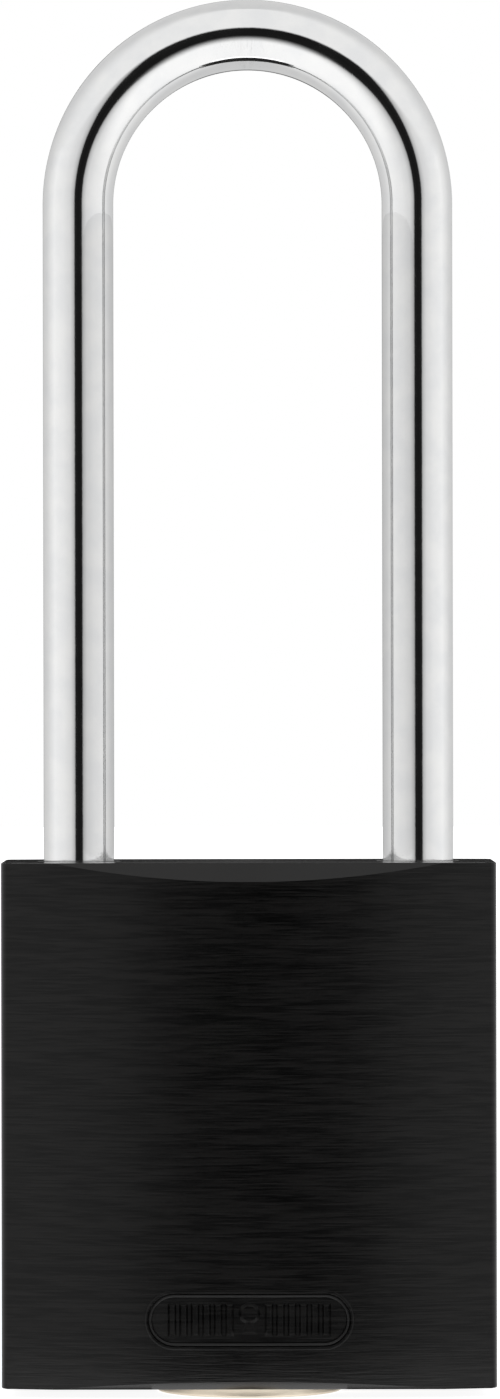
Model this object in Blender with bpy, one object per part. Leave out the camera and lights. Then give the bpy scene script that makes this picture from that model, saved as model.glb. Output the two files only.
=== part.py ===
"""Long-shackle padlock: block body, ball-locked round shackle, five-pin cylinder.

Metres, +Z up. z = 0 is the face of the key cylinder, which stands proud of the underside.
The front is -Y. The heel (long) leg of the shackle is at -X, the toe (short) leg at +X.
"""

import math

import bmesh
import bpy
from mathutils import Vector

# Body: a block with gently convex front and back.
BODY_WIDTH = 0.0453
BODY_HEIGHT = 0.0480
BODY_DEPTH = 0.0210
FACE_RADIUS = 0.0950
CORNER_RADIUS = 0.0010
BODY_BOTTOM = 0.0008
BODY_TOP = BODY_BOTTOM + BODY_HEIGHT
TOP_FACET = 0.00170
BOTTOM_FACET_HEIGHT = 0.00085
BOTTOM_FACET_DEPTH = 0.0023

# Shackle.
ROD_RADIUS = 0.00325
LEG_X = 0.01565
SHACKLE_TOP = 0.1283
HEEL_END = 0.0244
TOE_END = 0.0374
LIFT = 0.0125
LEG_BORE_RADIUS = 0.00345
HEEL_BORE_FLOOR = 0.0137
TOE_BORE_FLOOR = 0.0320

# Locking balls and the cam that holds them out.
BALL_RADIUS = 0.003175
BALL_LEVEL = 0.0420
BALL_BITE = 0.0013
BALL_X = LEG_X - ROD_RADIUS + BALL_BITE - BALL_RADIUS
TOE_BALL_TRAVEL = 0.0030
HEEL_BALL_TRAVEL = 0.0009
BALL_CHANNEL_RADIUS = 0.0033
CAM_RADIUS = 0.0073
CAM_BOTTOM = 0.0318
CAM_TOP = 0.0458
CAM_BORE_RADIUS = 0.0076
KEY_TURN = math.radians(90)

# Cylinder: round housing with a tower of pin chambers on its +X side.
HOUSING_RADIUS = 0.0085
HOUSING_TOP = 0.0295
HOUSING_BORE = 0.0087
SHOULDER = 0.0298
TOWER_END = 0.0184
TOWER_HALF_WIDTH = 0.0034
TOWER_BOTTOM = 0.0013
PLUG_RADIUS = 0.0060
PLUG_BORE = 0.0061
PLUG_HEAD_RADIUS = 0.0069
PLUG_FACE = 0.0002
PLUG_TOP = 0.0315
CLIP_GROOVE = (0.0297, 0.0307)
CLIP_NECK = 0.0049

# Pin stacks.
PIN_COUNT = 5
PIN_PITCH = 0.0039
FIRST_PIN = 0.0056
PIN_RADIUS = 0.0014
CHAMBER_RADIUS = 0.0015
CHAMBER_FLOOR = 0.0006
KEY_PIN_OUTER_END = 0.0058
KEY_PIN_LENGTHS = (0.0039, 0.0030, 0.0044, 0.0034, 0.0041)
DRIVER_INNER_END = 0.00615
DRIVER_LENGTH = 0.0040
COVER_SEAT = 0.0172

# Cylinder retaining screw, in line with the toe leg.
SCREW_SHANK = 0.00145
SCREW_HEAD = 0.0026
SCREW_HEAD_TOP = 0.0343
SCREW_SOCKET = 0.0013

GAP = 0.0003
ROUND = 48
SMALL_ROUND = 16
LYING_ALONG_X = (0, math.pi / 2, 0)


def clear_scene():
    for thing in list(bpy.data.objects):
        bpy.data.objects.remove(thing, do_unlink=True)


def metal(name, colour, roughness, metallic=1.0):
    """A Principled material in one finish."""
    material = bpy.data.materials.new(name)
    material.use_nodes = True
    shader = material.node_tree.nodes["Principled BSDF"]
    shader.inputs["Base Color"].default_value = (*colour, 1.0)
    shader.inputs["Roughness"].default_value = roughness
    shader.inputs["Metallic"].default_value = metallic
    return material


def place(name, bm, material, location=(0, 0, 0), rotation=(0, 0, 0)):
    """Turn a bmesh, built about its own origin, into a smooth-shaded object."""
    bmesh.ops.recalc_face_normals(bm, faces=bm.faces[:])
    mesh = bpy.data.meshes.new(name)
    bm.to_mesh(mesh)
    bm.free()
    mesh.shade_smooth()
    mesh.set_sharp_from_angle(angle=math.radians(30))
    thing = bpy.data.objects.new(name, mesh)
    thing.location = location
    thing.rotation_euler = rotation
    if material:
        mesh.materials.append(material)
    bpy.context.collection.objects.link(thing)
    return thing


def combine(target, tool, operation):
    """Boolean a hidden tool solid with the target."""
    tool.hide_render = True
    tool.display_type = "WIRE"
    modifier = target.modifiers.new(tool.name, "BOOLEAN")
    modifier.object = tool
    modifier.operation = operation
    modifier.solver = "EXACT"


def skin_rings(rings):
    """Join rings of points, each with the same count, into a closed tube with flat ends."""
    bm = bmesh.new()
    loops = [[bm.verts.new(point) for point in ring] for ring in rings]
    for lower, upper in zip(loops, loops[1:]):
        for i in range(len(lower)):
            j = (i + 1) % len(lower)
            bm.faces.new((lower[i], lower[j], upper[j], upper[i]))
    bm.faces.new(loops[0])
    bm.faces.new(loops[-1])
    return bm


def turned(profile, sides=ROUND):
    """A solid turned about Z from (radius, height) pairs, lowest first."""
    angles = [2 * math.pi * i / sides for i in range(sides)]
    return skin_rings(
        [[(r * math.cos(a), r * math.sin(a), z) for a in angles] for r, z in profile]
    )


def extruded(outline, low, high):
    """A flat outline of (x, y) points, raised from one height to another."""
    return skin_rings([[(x, y, z) for x, y in outline] for z in (low, high)])


def rounded_box(x_low, x_high, half_width, corner, low, high):
    """A box with rounded upright edges at its +X end."""
    outline = [(x_low, half_width), (x_low, -half_width)]
    for side in (-1, 1):
        for step in range(5):
            angle = math.pi / 8 * (step - 4 if side < 0 else step)
            x = x_high - corner + corner * math.cos(angle)
            y = side * (half_width - corner) + corner * math.sin(angle)
            outline.append((x, y))
    return extruded(outline, low, high)


def swept(stations, side_axis, sides):
    """A rod through (point, direction, radius) stations whose path stays square to side_axis."""
    rings = []
    for point, direction, radius in stations:
        across = Vector(side_axis)
        up = Vector(direction).normalized().cross(across)
        ring = []
        for i in range(sides):
            angle = 2 * math.pi * i / sides
            ring.append(Vector(point) + radius * (math.cos(angle) * across + math.sin(angle) * up))
        rings.append(ring)
    return skin_rings(rings)


def coil(wire_radius, coil_radius, length, turns, steps_per_turn, sides):
    """A helical spring of round wire along +Z, starting at z = 0."""
    rise = length - 2 * wire_radius
    count = turns * steps_per_turn
    rings = []
    for i in range(count + 1):
        turn = 2 * math.pi * i / steps_per_turn
        outward = Vector((math.cos(turn), math.sin(turn), 0))
        centre = coil_radius * outward + Vector((0, 0, wire_radius + rise * i / count))
        along = Vector((-math.sin(turn), math.cos(turn), rise / (2 * math.pi * turns * coil_radius)))
        up = along.normalized().cross(outward)
        angles = [2 * math.pi * k / sides for k in range(sides)]
        rings.append([centre + wire_radius * (math.cos(a) * outward + math.sin(a) * up) for a in angles])
    return skin_rings(rings)


def slice_off(bm, point, normal):
    """Cut away everything on the normal's side of a plane, and close the cut."""
    everything = bm.verts[:] + bm.edges[:] + bm.faces[:]
    result = bmesh.ops.bisect_plane(
        bm, geom=everything, plane_co=point, plane_no=normal, clear_outer=True
    )
    edges = [item for item in result["geom_cut"] if isinstance(item, bmesh.types.BMEdge)]
    bmesh.ops.contextual_create(bm, geom=edges)


def body_block():
    """Convex block with planar facets along the top and bottom edges of both faces."""
    half_width = BODY_WIDTH / 2
    half_depth = BODY_DEPTH / 2
    reach = math.asin(half_width / FACE_RADIUS)
    steps = 20
    front = []
    for i in range(steps + 1):
        angle = reach * (2 * i / steps - 1)
        x = FACE_RADIUS * math.sin(angle)
        front.append((x, FACE_RADIUS * (1 - math.cos(angle)) - half_depth))
    outline = front + [(-x, -y) for x, y in front]
    bm = extruded(outline, BODY_BOTTOM, BODY_TOP)
    upright = [
        edge
        for edge in bm.edges
        if abs(abs(edge.verts[0].co.x) - half_width) < 1e-6
        and edge.verts[0].co.xy == edge.verts[1].co.xy
    ]
    bmesh.ops.bevel(bm, geom=upright, offset=CORNER_RADIUS, segments=3, affect="EDGES", profile=0.5)
    slope = BOTTOM_FACET_DEPTH / BOTTOM_FACET_HEIGHT
    for side in (-1, 1):
        slice_off(bm, (0, side * half_depth, BODY_TOP - TOP_FACET), (0, side, 1))
        slice_off(bm, (0, side * half_depth, BODY_BOTTOM + BOTTOM_FACET_HEIGHT), (0, side, -slope))
    return bm


def make_body(finish):
    body = place("body", body_block(), finish)
    below, above = BODY_BOTTOM - 0.001, BODY_TOP + 0.001

    core = turned(
        [
            (HOUSING_BORE, below),
            (HOUSING_BORE, SHOULDER),
            (CAM_BORE_RADIUS, SHOULDER),
            (CAM_BORE_RADIUS, CAM_TOP + GAP),
        ]
    )
    combine(body, place("core_bore_cutter", core, None), "DIFFERENCE")

    slot = rounded_box(0, TOWER_END + GAP, TOWER_HALF_WIDTH + GAP, 0.0018, below, SHOULDER + 0.0001)
    combine(body, place("tower_slot_cutter", slot, None), "DIFFERENCE")

    lead_in = 0.0004
    mouth = [(LEG_BORE_RADIUS, BODY_TOP - lead_in), (LEG_BORE_RADIUS + lead_in + 0.001, above)]
    heel = turned([(LEG_BORE_RADIUS, HEEL_BORE_FLOOR)] + mouth, 32)
    combine(body, place("heel_bore_cutter", heel, None, (-LEG_X, 0, 0)), "DIFFERENCE")

    screw_hole = SCREW_SHANK + GAP
    toe = turned(
        [
            (screw_hole, SHOULDER - 0.001),
            (screw_hole, TOE_BORE_FLOOR),
            (LEG_BORE_RADIUS, TOE_BORE_FLOOR),
        ]
        + mouth,
        32,
    )
    combine(body, place("toe_bore_cutter", toe, None, (LEG_X, 0, 0)), "DIFFERENCE")

    channel = turned([(BALL_CHANNEL_RADIUS, -LEG_X), (BALL_CHANNEL_RADIUS, LEG_X)], 32)
    cutter = place("ball_channel_cutter", channel, None, (0, 0, BALL_LEVEL), LYING_ALONG_X)
    combine(body, cutter, "DIFFERENCE")


def ball_track(x, travel, inward):
    """The room a ball needs in a leg as the shackle rises and the ball draws back."""
    radius = BALL_RADIUS + 0.00015
    start = Vector((x, 0, BALL_LEVEL))
    end = Vector((x + inward * travel, 0, BALL_LEVEL - LIFT))
    along = (end - start).normalized()
    stations = []
    for base, sign in ((start, -1), (end, 1)):
        cap = [math.radians(a) for a in (8, 20, 34, 48, 62, 76, 90)]
        ring = [(base + sign * along * radius * math.cos(a), along, radius * math.sin(a)) for a in cap]
        stations += ring if sign < 0 else ring[::-1]
    return swept(stations, (0, 1, 0), 24)


def make_shackle(finish):
    """Round rod bent into a U, with the heel's neck and a ball notch in each leg."""
    bow_centre = SHACKLE_TOP - ROD_RADIUS - LEG_X
    head_top, neck_half, neck_radius = 0.0271, 0.0021, 0.0025
    neck_centre = BALL_LEVEL - LIFT
    heel = [
        (0.0026, HEEL_END),
        (ROD_RADIUS, HEEL_END + 0.0006),
        (ROD_RADIUS, head_top),
        (neck_radius, neck_centre - neck_half),
        (neck_radius, neck_centre + neck_half),
        (ROD_RADIUS, neck_centre + neck_half + 0.0004),
    ]
    toe = [(ROD_RADIUS, TOE_END + 0.0010), (0.0022, TOE_END)]
    stations = [((-LEG_X, 0, z), (0, 0, 1), r) for r, z in heel]
    bend_steps = 28
    for i in range(bend_steps + 1):
        angle = math.pi * (1 - i / bend_steps)
        point = (LEG_X * math.cos(angle), 0, bow_centre + LEG_X * math.sin(angle))
        stations.append((point, (math.sin(angle), 0, -math.cos(angle)), ROD_RADIUS))
    stations += [((LEG_X, 0, z), (0, 0, -1), r) for r, z in toe]
    origin = Vector((-LEG_X, 0, BODY_TOP))
    stations = [(Vector(point) - origin, direction, radius) for point, direction, radius in stations]
    shackle = place("shackle", swept(stations, (0, 1, 0), 24), finish, origin)
    heel_track = ball_track(-BALL_X, HEEL_BALL_TRAVEL, 1)
    toe_track = ball_track(BALL_X, TOE_BALL_TRAVEL, -1)
    combine(shackle, place("heel_notch_cutter", heel_track, None), "DIFFERENCE")
    combine(shackle, place("toe_notch_cutter", toe_track, None), "DIFFERENCE")


def make_balls(finish):
    for name, side in (("locking_ball_heel", -1), ("locking_ball_toe", 1)):
        bm = bmesh.new()
        bmesh.ops.create_uvsphere(bm, u_segments=20, v_segments=12, radius=BALL_RADIUS)
        place(name, bm, finish, (side * BALL_X, 0, BALL_LEVEL))


def cam_reach(angle):
    """Cam radius at an angle: full, or cut back where a ball rolls in as the key turns."""
    clear = BALL_RADIUS + 0.00008
    reach = CAM_RADIUS
    steps = 36
    for side_angle, travel in ((0.0, TOE_BALL_TRAVEL), (math.pi, HEEL_BALL_TRAVEL)):
        for i in range(steps + 1):
            part = i / steps
            distance = BALL_X - travel * part
            off = angle - (side_angle - KEY_TURN * part)
            sideways = distance * math.sin(off)
            if math.cos(off) > 0 and abs(sideways) < clear:
                near = distance * math.cos(off) - math.sqrt(clear**2 - sideways**2)
                reach = min(reach, near)
    return reach


def make_cam(finish):
    """Scooped head at ball height, a neck, a foot disc and a drive tongue under it."""
    neck = 0.0041
    foot_top, head_bottom = 0.0336, BALL_LEVEL - BALL_RADIUS - 0.0004
    edge = 0.0003
    sides = 72
    angles = [2 * math.pi * i / sides for i in range(sides)]
    head = [cam_reach(angle) for angle in angles]
    levels = [
        ([CAM_RADIUS - edge] * sides, CAM_BOTTOM),
        ([CAM_RADIUS] * sides, CAM_BOTTOM + edge),
        ([CAM_RADIUS] * sides, foot_top),
        ([neck] * sides, foot_top),
        ([neck] * sides, head_bottom),
        (head, head_bottom),
        (head, CAM_TOP - edge),
        ([r - edge for r in head], CAM_TOP),
    ]
    rings = [
        [(r * math.cos(a), r * math.sin(a), z - BALL_LEVEL) for r, a in zip(radii, angles)]
        for radii, z in levels
    ]
    cam = place("locking_cam", skin_rings(rings), finish, (0, 0, BALL_LEVEL))
    tongue = [(-0.0038, -0.00105), (0.0038, -0.00105), (0.0038, 0.00105), (-0.0038, 0.00105)]
    blade = place("tongue_tool", extruded(tongue, 0.0296, CAM_BOTTOM + 0.0008), None)
    combine(cam, blade, "UNION")


def pin_levels():
    return [FIRST_PIN + PIN_PITCH * i for i in range(PIN_COUNT)]


def make_housing(finish):
    """Round brass shell, united with the pin tower, then bored for plug, pins and screw."""
    edge = 0.0003
    shell = turned(
        [
            (HOUSING_RADIUS - edge, 0),
            (HOUSING_RADIUS, edge),
            (HOUSING_RADIUS, HOUSING_TOP),
        ]
    )
    housing = place("cylinder_housing", shell, finish)
    tower = rounded_box(0, TOWER_END, TOWER_HALF_WIDTH, 0.0015, TOWER_BOTTOM, HOUSING_TOP - 0.0001)
    combine(housing, place("tower_tool", tower, None), "UNION")

    head_seat = PLUG_HEAD_RADIUS + 0.00015
    bore = turned(
        [
            (head_seat, -0.001),
            (head_seat, 0.00185),
            (PLUG_BORE, 0.00185),
            (PLUG_BORE, HOUSING_TOP + 0.001),
        ]
    )
    combine(housing, place("plug_bore_cutter", bore, None), "DIFFERENCE")

    seat = rounded_box(COVER_SEAT, TOWER_END + 0.001, 0.0025, 0.0001, 0.0030, 0.0239)
    combine(housing, place("cover_seat_cutter", seat, None), "DIFFERENCE")
    for number, level in enumerate(pin_levels(), 1):
        chamber = turned([(CHAMBER_RADIUS, 0.0030), (CHAMBER_RADIUS, TOWER_END + 0.001)], SMALL_ROUND)
        cutter = place(f"chamber_cutter_{number}", chamber, None, (0, 0, level), LYING_ALONG_X)
        combine(housing, cutter, "DIFFERENCE")

    hole = turned([(SCREW_SHANK + 0.00015, 0.0249), (SCREW_SHANK + 0.00015, 0.0310)], SMALL_ROUND)
    combine(housing, place("screw_hole_cutter", hole, None, (LEG_X, 0, 0)), "DIFFERENCE")


def make_cover(finish):
    """Strip that closes the outer ends of the pin chambers."""
    strip = rounded_box(COVER_SEAT + GAP, TOWER_END - GAP, 0.0022, 0.0001, 0.0033, 0.0236)
    place("pin_chamber_cover", strip, finish)


def make_plug(finish):
    """Turned plug with a warded keyway, pin holes, a clip groove and a drive slot."""
    low_groove, high_groove = CLIP_GROOVE
    profile = [
        (PLUG_HEAD_RADIUS - 0.0002, PLUG_FACE),
        (PLUG_HEAD_RADIUS, PLUG_FACE + 0.0002),
        (PLUG_HEAD_RADIUS, 0.0016),
        (PLUG_RADIUS, 0.0016),
        (PLUG_RADIUS, low_groove),
        (CLIP_NECK, low_groove),
        (CLIP_NECK, high_groove),
        (PLUG_RADIUS, high_groove),
        (PLUG_RADIUS, PLUG_TOP),
    ]
    plug = place("plug", turned(profile), finish)

    half, ward = 0.0008, 0.0002
    keyway = [
        (-0.0047, -half),
        (-0.0026, -half),
        (-0.0020, -ward),
        (-0.0004, -ward),
        (0.0002, -half),
        (0.0044, -half),
        (0.0044, half),
        (0.0030, half),
        (0.0024, ward),
        (0.0014, ward),
        (0.0008, half),
        (-0.0047, half),
    ]
    combine(plug, place("keyway_cutter", extruded(keyway, -0.001, 0.0260), None), "DIFFERENCE")
    for number, level in enumerate(pin_levels(), 1):
        hole = turned([(CHAMBER_RADIUS, CHAMBER_FLOOR), (CHAMBER_RADIUS, 0.0080)], SMALL_ROUND)
        cutter = place(f"pin_hole_cutter_{number}", hole, None, (0, 0, level), LYING_ALONG_X)
        combine(plug, cutter, "DIFFERENCE")
    slot = [(-0.0070, -0.0013), (0.0070, -0.0013), (0.0070, 0.0013), (-0.0070, 0.0013)]
    cutter = place("drive_slot_cutter", extruded(slot, 0.0293, PLUG_TOP + 0.001), None)
    combine(plug, cutter, "DIFFERENCE")


def make_clip(finish):
    """Open spring clip in the plug's groove."""
    low_groove, high_groove = CLIP_GROOVE
    inner, outer = CLIP_NECK + 0.00015, 0.0072
    opening = math.radians(50)
    steps = 30
    angles = [opening / 2 + (2 * math.pi - opening) * i / steps for i in range(steps + 1)]
    outline = [(outer * math.cos(a), outer * math.sin(a)) for a in angles]
    outline += [(inner * math.cos(a), inner * math.sin(a)) for a in reversed(angles)]
    bm = extruded(outline, low_groove + 0.00015, high_groove - 0.00015)
    place("plug_clip", bm, finish)


def make_screw(finish):
    """Socket-head screw that goes down the toe bore into the tower."""
    under_head = TOE_BORE_FLOOR + GAP
    profile = [
        (SCREW_SHANK - 0.0003, 0.0252),
        (SCREW_SHANK, 0.0255),
        (SCREW_SHANK, under_head),
        (SCREW_HEAD, under_head),
        (SCREW_HEAD, SCREW_HEAD_TOP - 0.0002),
        (SCREW_HEAD - 0.0002, SCREW_HEAD_TOP),
    ]
    screw = place("cylinder_screw", turned(profile, 24), finish, (LEG_X, 0, 0))
    socket = turned([(SCREW_SOCKET, SCREW_HEAD_TOP - 0.0012), (SCREW_SOCKET, SCREW_HEAD_TOP + 0.001)], 6)
    combine(screw, place("hex_socket_cutter", socket, None, (LEG_X, 0, 0)), "DIFFERENCE")


def pin_profile(length, point):
    """A pin along +Z from its inner end, which tapers by `point`, to its bevelled outer end."""
    bevel = 0.0003
    return [
        (PIN_RADIUS - point, 0),
        (PIN_RADIUS, point),
        (PIN_RADIUS, length - bevel),
        (PIN_RADIUS - bevel, length),
    ]


def make_pins(brass, steel):
    """Key pins at the shear line, driver pins outside them, springs behind the drivers."""
    spring_start = DRIVER_INNER_END + DRIVER_LENGTH + 0.00015
    spring_length = COVER_SEAT - spring_start
    for number, level in enumerate(pin_levels(), 1):
        length = KEY_PIN_LENGTHS[number - 1]
        key_pin = turned(pin_profile(length, 0.0008), SMALL_ROUND)
        inner_end = KEY_PIN_OUTER_END - length
        place(f"key_pin_{number}", key_pin, brass, (inner_end, 0, level), LYING_ALONG_X)
        driver = turned(pin_profile(DRIVER_LENGTH, 0.0002), SMALL_ROUND)
        place(f"driver_pin_{number}", driver, brass, (DRIVER_INNER_END, 0, level), LYING_ALONG_X)
        spring = coil(0.00018, 0.00105, spring_length, 7, 9, 5)
        place(f"pin_spring_{number}", spring, steel, (spring_start, 0, level), LYING_ALONG_X)


def make_ejection_spring(finish):
    """Compression spring in the heel bore that throws the shackle up."""
    start = HEEL_BORE_FLOOR + 0.0002
    spring = coil(0.0004, 0.0023, HEEL_END - 0.0002 - start, 8, 14, 6)
    place("ejection_spring", spring, finish, (-LEG_X, 0, start))


clear_scene()
anodised = metal("black_anodised_aluminium", (0.035, 0.033, 0.031), 0.38)
chrome = metal("bright_chrome_plate", (0.80, 0.81, 0.82), 0.06)
ball_steel = metal("ball_steel", (0.62, 0.62, 0.63), 0.12)
cam_steel = metal("zinc_plated_steel", (0.55, 0.55, 0.54), 0.35)
shell_brass = metal("housing_brass", (0.78, 0.60, 0.32), 0.30)
plug_brass = metal("plug_brass", (0.80, 0.63, 0.36), 0.26)
pin_brass = metal("pin_brass", (0.76, 0.55, 0.26), 0.25)
spring_steel = metal("spring_steel", (0.50, 0.49, 0.47), 0.30)
black_oxide = metal("black_oxide_steel", (0.06, 0.06, 0.06), 0.45)
make_body(anodised)
make_shackle(chrome)
make_balls(ball_steel)
make_cam(cam_steel)
make_housing(shell_brass)
make_cover(shell_brass)
make_plug(plug_brass)
make_clip(spring_steel)
make_screw(black_oxide)
make_pins(pin_brass, spring_steel)
make_ejection_spring(spring_steel)
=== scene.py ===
import math

import bmesh
import bpy
from mathutils import Matrix, Vector


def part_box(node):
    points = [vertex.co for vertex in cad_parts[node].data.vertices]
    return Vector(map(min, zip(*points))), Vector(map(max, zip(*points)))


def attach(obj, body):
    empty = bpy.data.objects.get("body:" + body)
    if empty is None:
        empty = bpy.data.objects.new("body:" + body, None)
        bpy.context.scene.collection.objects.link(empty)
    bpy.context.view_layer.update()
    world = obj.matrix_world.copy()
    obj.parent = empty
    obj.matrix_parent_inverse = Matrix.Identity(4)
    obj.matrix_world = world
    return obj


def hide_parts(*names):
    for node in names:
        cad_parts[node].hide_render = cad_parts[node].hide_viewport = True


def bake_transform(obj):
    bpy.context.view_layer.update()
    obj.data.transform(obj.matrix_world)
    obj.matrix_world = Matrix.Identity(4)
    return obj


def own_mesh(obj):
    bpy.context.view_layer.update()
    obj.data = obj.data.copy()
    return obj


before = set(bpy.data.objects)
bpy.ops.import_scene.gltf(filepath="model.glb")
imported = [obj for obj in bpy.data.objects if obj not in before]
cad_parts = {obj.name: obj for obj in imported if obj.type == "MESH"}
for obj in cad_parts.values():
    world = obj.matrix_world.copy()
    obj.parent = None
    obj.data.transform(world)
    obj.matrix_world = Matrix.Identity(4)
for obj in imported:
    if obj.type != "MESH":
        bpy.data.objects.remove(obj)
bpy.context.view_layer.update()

# ---------------------------------------------------------------- body
# One block of extruded aluminium, brushed across and anodised black. Front and back are gently convex,
# with a flat facet along the top edge and a thin one along the bottom. It is drilled from above for the
# legs, and from below for the key cylinder and its pin tower.

body_low, body_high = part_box("body")
shackle_low, shackle_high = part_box("shackle")
shell_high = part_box("cylinder_housing")[1]
cam_low, cam_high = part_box("locking_cam")
ball_low, ball_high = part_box("locking_ball_toe")
screw_low, screw_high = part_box("cylinder_screw")

HALF_WIDTH = body_high.x
HALF_DEPTH = body_high.y
FACE_RADIUS = 0.0950
CORNER_RADIUS = 0.0010
RIM_BREAK = 0.00012
TOP_FACET = 0.00170
BOTTOM_FACET_RISE = 0.00085
BOTTOM_FACET_DEPTH = 0.0018

ROD_RADIUS = shackle_high.y
LEG_X = shackle_high.x - ROD_RADIUS
LEG_BORE = ROD_RADIUS + 0.0002
HEEL_BORE_FLOOR = shackle_low.z - 0.0107
TOE_BORE_FLOOR = screw_high.z - 0.0023
LEAD_IN = 0.0004
SHELL_RADIUS = shell_high.y
SHELL_BORE = SHELL_RADIUS + 0.0002
SHOULDER = shell_high.z + 0.0003
TOWER_END = shell_high.x
TOWER_HALF_WIDTH = 0.0034
TOWER_CORNER = 0.0015
CAM_BORE = cam_high.x + 0.0003
BALL_LEVEL = (ball_low.z + ball_high.z) / 2
BALL_RADIUS = (ball_high.z - ball_low.z) / 2
BALL_CHANNEL = BALL_RADIUS + 0.000125
SCREW_SHANK = 0.00145

EMBLEM_CENTRE_Z = body_low.z + 0.00645
EMBLEM_HALF_LENGTH = 0.00940
EMBLEM_HALF_HEIGHT = 0.00258
EMBLEM_FIELD_DEPTH = 0.00022


def skin_rings(rings):
    """Join rings of points, each with the same count, into a closed tube with flat ends."""
    bm = bmesh.new()
    loops = [[bm.verts.new(point) for point in ring] for ring in rings]
    for lower, upper in zip(loops, loops[1:]):
        for i in range(len(lower)):
            j = (i + 1) % len(lower)
            bm.faces.new((lower[i], lower[j], upper[j], upper[i]))
    bm.faces.new(loops[0])
    bm.faces.new(loops[-1])
    bmesh.ops.recalc_face_normals(bm, faces=bm.faces[:])
    return bm


def turned(profile, sides=96, at=(0, 0, 0)):
    """A solid turned about an upright axis from (radius, height) pairs, lowest first."""
    angles = [2 * math.pi * i / sides for i in range(sides)]
    return skin_rings(
        [[(at[0] + r * math.cos(a), at[1] + r * math.sin(a), at[2] + z) for a in angles] for r, z in profile]
    )


def turned_along_x(profile, level, sides=48):
    """The same, about an axis along X at a height, from (radius, x) pairs."""
    angles = [2 * math.pi * i / sides for i in range(sides)]
    return skin_rings([[(x, r * math.cos(a), level + r * math.sin(a)) for a in angles] for r, x in profile])


def rounded(profile, radius, steps=4):
    """Round the corners of an open (radius, height) profile."""
    points = [Vector(p) for p in profile]
    result = [points[0]]
    for before, corner, after in zip(points, points[1:], points[2:]):
        back, ahead = before - corner, after - corner
        reach = min(radius, back.length * 0.45, ahead.length * 0.45)
        start = corner + back.normalized() * reach
        end = corner + ahead.normalized() * reach
        for i in range(steps + 1):
            t = i / steps
            result.append(start * (1 - t) ** 2 + corner * 2 * t * (1 - t) + end * t**2)
    result.append(points[-1])
    return [tuple(p) for p in result]


def extruded(outline, low, high):
    """A flat outline of (x, y) points, raised from one height to another."""
    return skin_rings([[(x, y, z) for x, y in outline] for z in (low, high)])


def half_slot(x_low, x_high, half_width, corner, steps=8):
    """Outline of a bar whose corners are rounded at its +X end."""
    outline = [(x_low, half_width), (x_low, -half_width)]
    for side in (-1, 1):
        for step in range(steps + 1):
            angle = math.pi / 2 * (step / steps - (1 if side < 0 else 0))
            x = x_high - corner + corner * math.cos(angle)
            outline.append((x, side * (half_width - corner) + corner * math.sin(angle)))
    return outline


def make_piece(name, bm):
    """Turn a bmesh into an object that sits at the origin."""
    mesh = bpy.data.meshes.new(name)
    bm.to_mesh(mesh)
    bm.free()
    piece = bpy.data.objects.new(name, mesh)
    bpy.context.scene.collection.objects.link(piece)
    return piece


def combine(piece, bm, operation="DIFFERENCE"):
    """Cut a tool's shape from a piece, or unite it with the piece."""
    tool = make_piece("tool", bm) if isinstance(bm, bmesh.types.BMesh) else bm
    tool.hide_render = True
    modifier = piece.modifiers.new("cut", "BOOLEAN")
    modifier.object = tool
    modifier.operation = operation
    modifier.solver = "EXACT"
    return tool


def settle(piece, finish, sharp=28.0):
    """Make the modifiers final, drop their tools, merge stray points, then shade and finish the piece."""
    graph = bpy.context.evaluated_depsgraph_get()
    mesh = bpy.data.meshes.new_from_object(piece.evaluated_get(graph))
    tools = [modifier.object for modifier in piece.modifiers if modifier.type == "BOOLEAN"]
    piece.modifiers.clear()
    piece.data = mesh
    for tool in tools:
        bpy.data.objects.remove(tool)
    bm = bmesh.new()
    bm.from_mesh(mesh)
    bmesh.ops.remove_doubles(bm, verts=bm.verts[:], dist=1e-6)
    bmesh.ops.dissolve_degenerate(bm, edges=bm.edges[:], dist=1e-6)
    bm.to_mesh(mesh)
    bm.free()
    mesh.name = piece.name
    mesh.shade_smooth()
    mesh.set_sharp_from_angle(angle=math.radians(sharp))
    mesh.materials.clear()
    mesh.materials.append(finish)
    even = piece.modifiers.new("even_shading", "WEIGHTED_NORMAL")
    even.keep_sharp = True


def add_node(tree, kind, inputs=None, **settings):
    """Add a node with its settings, and link or set its inputs by name or number."""
    node = tree.nodes.new(kind)
    for setting, value in settings.items():
        setattr(node, setting, value)
    for socket, value in (inputs or {}).items():
        if isinstance(value, bpy.types.NodeSocket):
            tree.links.new(value, node.inputs[socket])
        else:
            node.inputs[socket].default_value = value
    return node


def add_maths(tree, operation, first, second=0.0):
    """A Math node's result."""
    return add_node(tree, "ShaderNodeMath", {0: first, 1: second}, operation=operation).outputs[0]


def add_range(tree, value, start, end, low=0.0, high=1.0, curve="SMOOTHSTEP"):
    """A value eased from low to high as it goes from start to end."""
    ends = {"Value": value, "From Min": start, "From Max": end, "To Min": low, "To Max": high}
    return add_node(tree, "ShaderNodeMapRange", ends, interpolation_type=curve).outputs["Result"]


def add_colours(tree, factor, dark, light):
    """A colour between two, by a factor."""
    ends = {0: factor, 6: (*dark, 1.0), 7: (*light, 1.0)}
    return add_node(tree, "ShaderNodeMix", ends, data_type="RGBA").outputs[2]


def add_vector(tree, **parts):
    """A vector from its X, Y and Z parts."""
    return add_node(tree, "ShaderNodeCombineXYZ", parts).outputs[0]


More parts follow.
